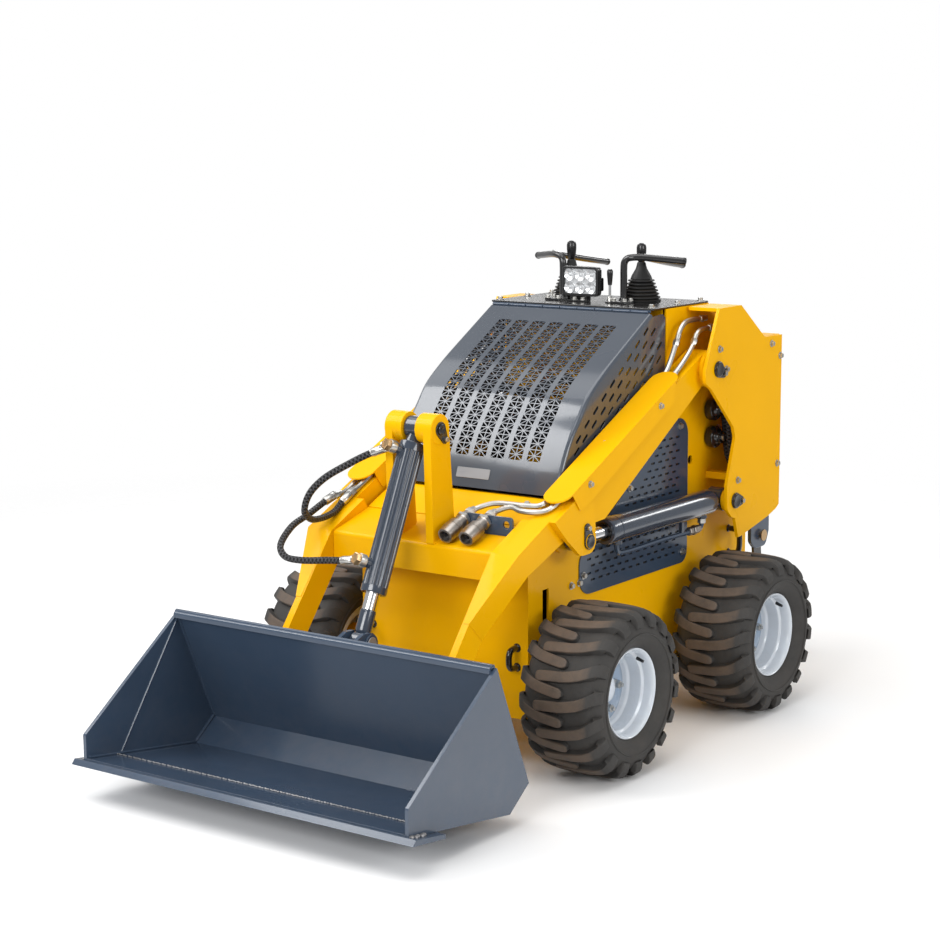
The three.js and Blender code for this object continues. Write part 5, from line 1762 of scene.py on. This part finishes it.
class LoaderBucket(bpy.types.Operator):
    """Bucket of welded sheet with a round lip, cutting edge, doublers and weld beads"""
    bl_idname = "loader.bucket"
    bl_label = "Bucket"

    def execute(self, context):
        bodies = [from_frame("bucket", "slate", 0.0016)]
        ey, ez = TILT_EYE
        by, bz = BUCKET_PIN
        for s in (1, -1):
            bodies.append(rod(at(s * 228, by, bz), at(s * 309, by, bz), 0.0172, sides=36, finish="bare"))
            bodies.append(plate([(by - 14, bz + 20, 10), (by - 14, bz - 14, 10), (by + 14, bz - 14, 10),
                                 (by + 14, bz + 20, 10)],
                                "x", s * 300.2, s * 304, 0.0007, 2, "black"))
            bodies += bolts([at(s * 304, by, bz + 12)], (s, 0, 0), 0.011, 0.006, 0.0)
        bodies.append(rod(at(-40, ey, ez), at(40, ey, ez), 0.0172, sides=36, finish="bare"))
        for s in (1, -1):
            bodies.append(rod(at(s * 33.4, ey, ez), at(s * 38, ey, ez), 0.024, sides=32, finish="slate"))
        inner = BUCKET_HALF - 10
        bodies.append(tube([at(-inner - 2, -959, 412), at(0, -959, 412), at(inner + 2, -959, 412)], 0.0085,
                           "slate", 14, 2))
        for s in (1, -1):
            x = s * (inner - 0.8)
            for start, end, radius in (
                    ((-959, 404), (-831, 106), 0.0046), ((-831, 106), (-905, 49), 0.0046),
                    ((-905, 49), (-1290, 102), 0.0042), ((-962, 396), (-1180, 88), 0.0028)):
                bodies.append(bead(at(x, *start), at(x, *end), radius, "slate"))

        # ground weld along the cutting edge, and a few larger drops at its ends
        zero = at(0, 0, 0)
        blob = weld_blob()
        x, i = -500, 0
        while x < 500:
            move = Matrix.Translation(at(x, -1196 + 1.6 * math.sin(i * 2.3), 88.4) - zero)
            bodies.append(copy_of(blob, about(zero, move @ Matrix.Rotation(math.radians(8), 4, "X"))))
            x += 6.2 + 1.8 * math.sin(i * 1.7)
            i += 1
        for s in (1, -1):
            for k in range(5):
                move = Matrix.Translation(at(s * (517 + 4 * (k % 2)), -1292 + 11 * k, 96 - 1.4 * k) - zero)
                bodies.append(copy_of(blob, about(zero, move @ Matrix.Scale(2.6, 4))))
        bpy.data.objects.remove(blob)
        hand_over(weld_up(bodies), "bucket_body", "bucket", ["bucket"])
        return {"FINISHED"}


def weld_blob():
    """One flat drop of weld at the machine's zero."""
    deselect()
    bpy.ops.mesh.primitive_ico_sphere_add(subdivisions=1, radius=0.003, location=at(0, 0, 0))
    made = settle(active())
    made.data.transform(about(at(0, 0, 0), Matrix.Diagonal((1.1, 1.0, 0.5, 1))))
    return coat(made, "bare")


# ---------------------------------------------------------------- platform

class LoaderPlatform(bpy.types.Operator):
    """Folding operator's platform and the lugs that carry it"""
    bl_idname = "loader.platform"
    bl_label = "Platform"

    def execute(self, context):
        bodies = [from_frame("platform_bracket", "slate", 0.0016)]
        for s in (1, -1):
            bodies.append(rod(at(s * 240, *PLATFORM_PIN), at(s * 275, *PLATFORM_PIN), 0.0118, sides=28,
                              finish="brass"))
            bodies.append(rod(at(s * 274, *PLATFORM_PIN), at(s * 279, *PLATFORM_PIN), 0.0175, sides=28,
                              finish="brass"))
        bodies += bolts([at(x, 697.3, z) for x in (-180, 0, 180) for z in (492, 530)], Y_AXIS, 0.018, 0.01,
                        0.014)
        hand_over(weld_up(bodies), "platform_lugs", "chassis", ["platform_bracket"])

        bodies = [from_frame("platform", "black", 0.0014)]
        stud = turned([(0.0, 0.0), (0.0, 0.011), (0.0026, 0.0095), (0.0026, 0.0)], at(0, 0, 230), Z_AXIS, 12,
                      "black")
        spots = [(-216 + 36 * i + (18 if j % 2 else 0), 856 + 38 * j) for i in range(13) for j in range(5)]
        bodies += copies_of(stud, [(x / 1000, y / 1000, 0) for x, y in spots if abs(x) < 232])
        hand_over(weld_up(bodies), "step", "platform", ["platform"])
        return {"FINISHED"}


# ---------------------------------------------------------------- panel

STEPS = (LoaderStage, LoaderWheels, LoaderChassis, LoaderSideCovers, LoaderTowers, LoaderEngineBay,
         LoaderHood,
         LoaderControls, LoaderTieDowns, LoaderArms, LoaderPipes, LoaderLiftCylinders, LoaderTiltCylinder,
         LoaderHoses, LoaderBucket, LoaderPlatform)


class LoaderPanel(bpy.types.Panel):
    bl_idname = "VIEW3D_PT_loader"
    bl_label = "Loader"
    bl_space_type = "VIEW_3D"
    bl_region_type = "UI"
    bl_category = "Loader"

    def draw(self, context):
        layout = self.layout
        for group in (context.scene.loader_sizes, context.scene.loader_colours):
            box = layout.box()
            for name in group.__annotations__:
                box.prop(group, name)
        for step in STEPS:
            layout.operator(step.bl_idname)


CLASSES = (LoaderSizes, LoaderColours, *STEPS, LoaderPanel)


def register():
    for item in CLASSES:
        bpy.utils.register_class(item)
    bpy.types.Scene.loader_sizes = bpy.props.PointerProperty(type=LoaderSizes)
    bpy.types.Scene.loader_colours = bpy.props.PointerProperty(type=LoaderColours)


def unregister():
    del bpy.types.Scene.loader_colours
    del bpy.types.Scene.loader_sizes
    for item in reversed(CLASSES):
        bpy.utils.unregister_class(item)


def main():
    register()
    for step in STEPS:
        group, name = step.bl_idname.split(".")
        getattr(getattr(bpy.ops, group), name)()


if __name__ == "__main__":
    main()
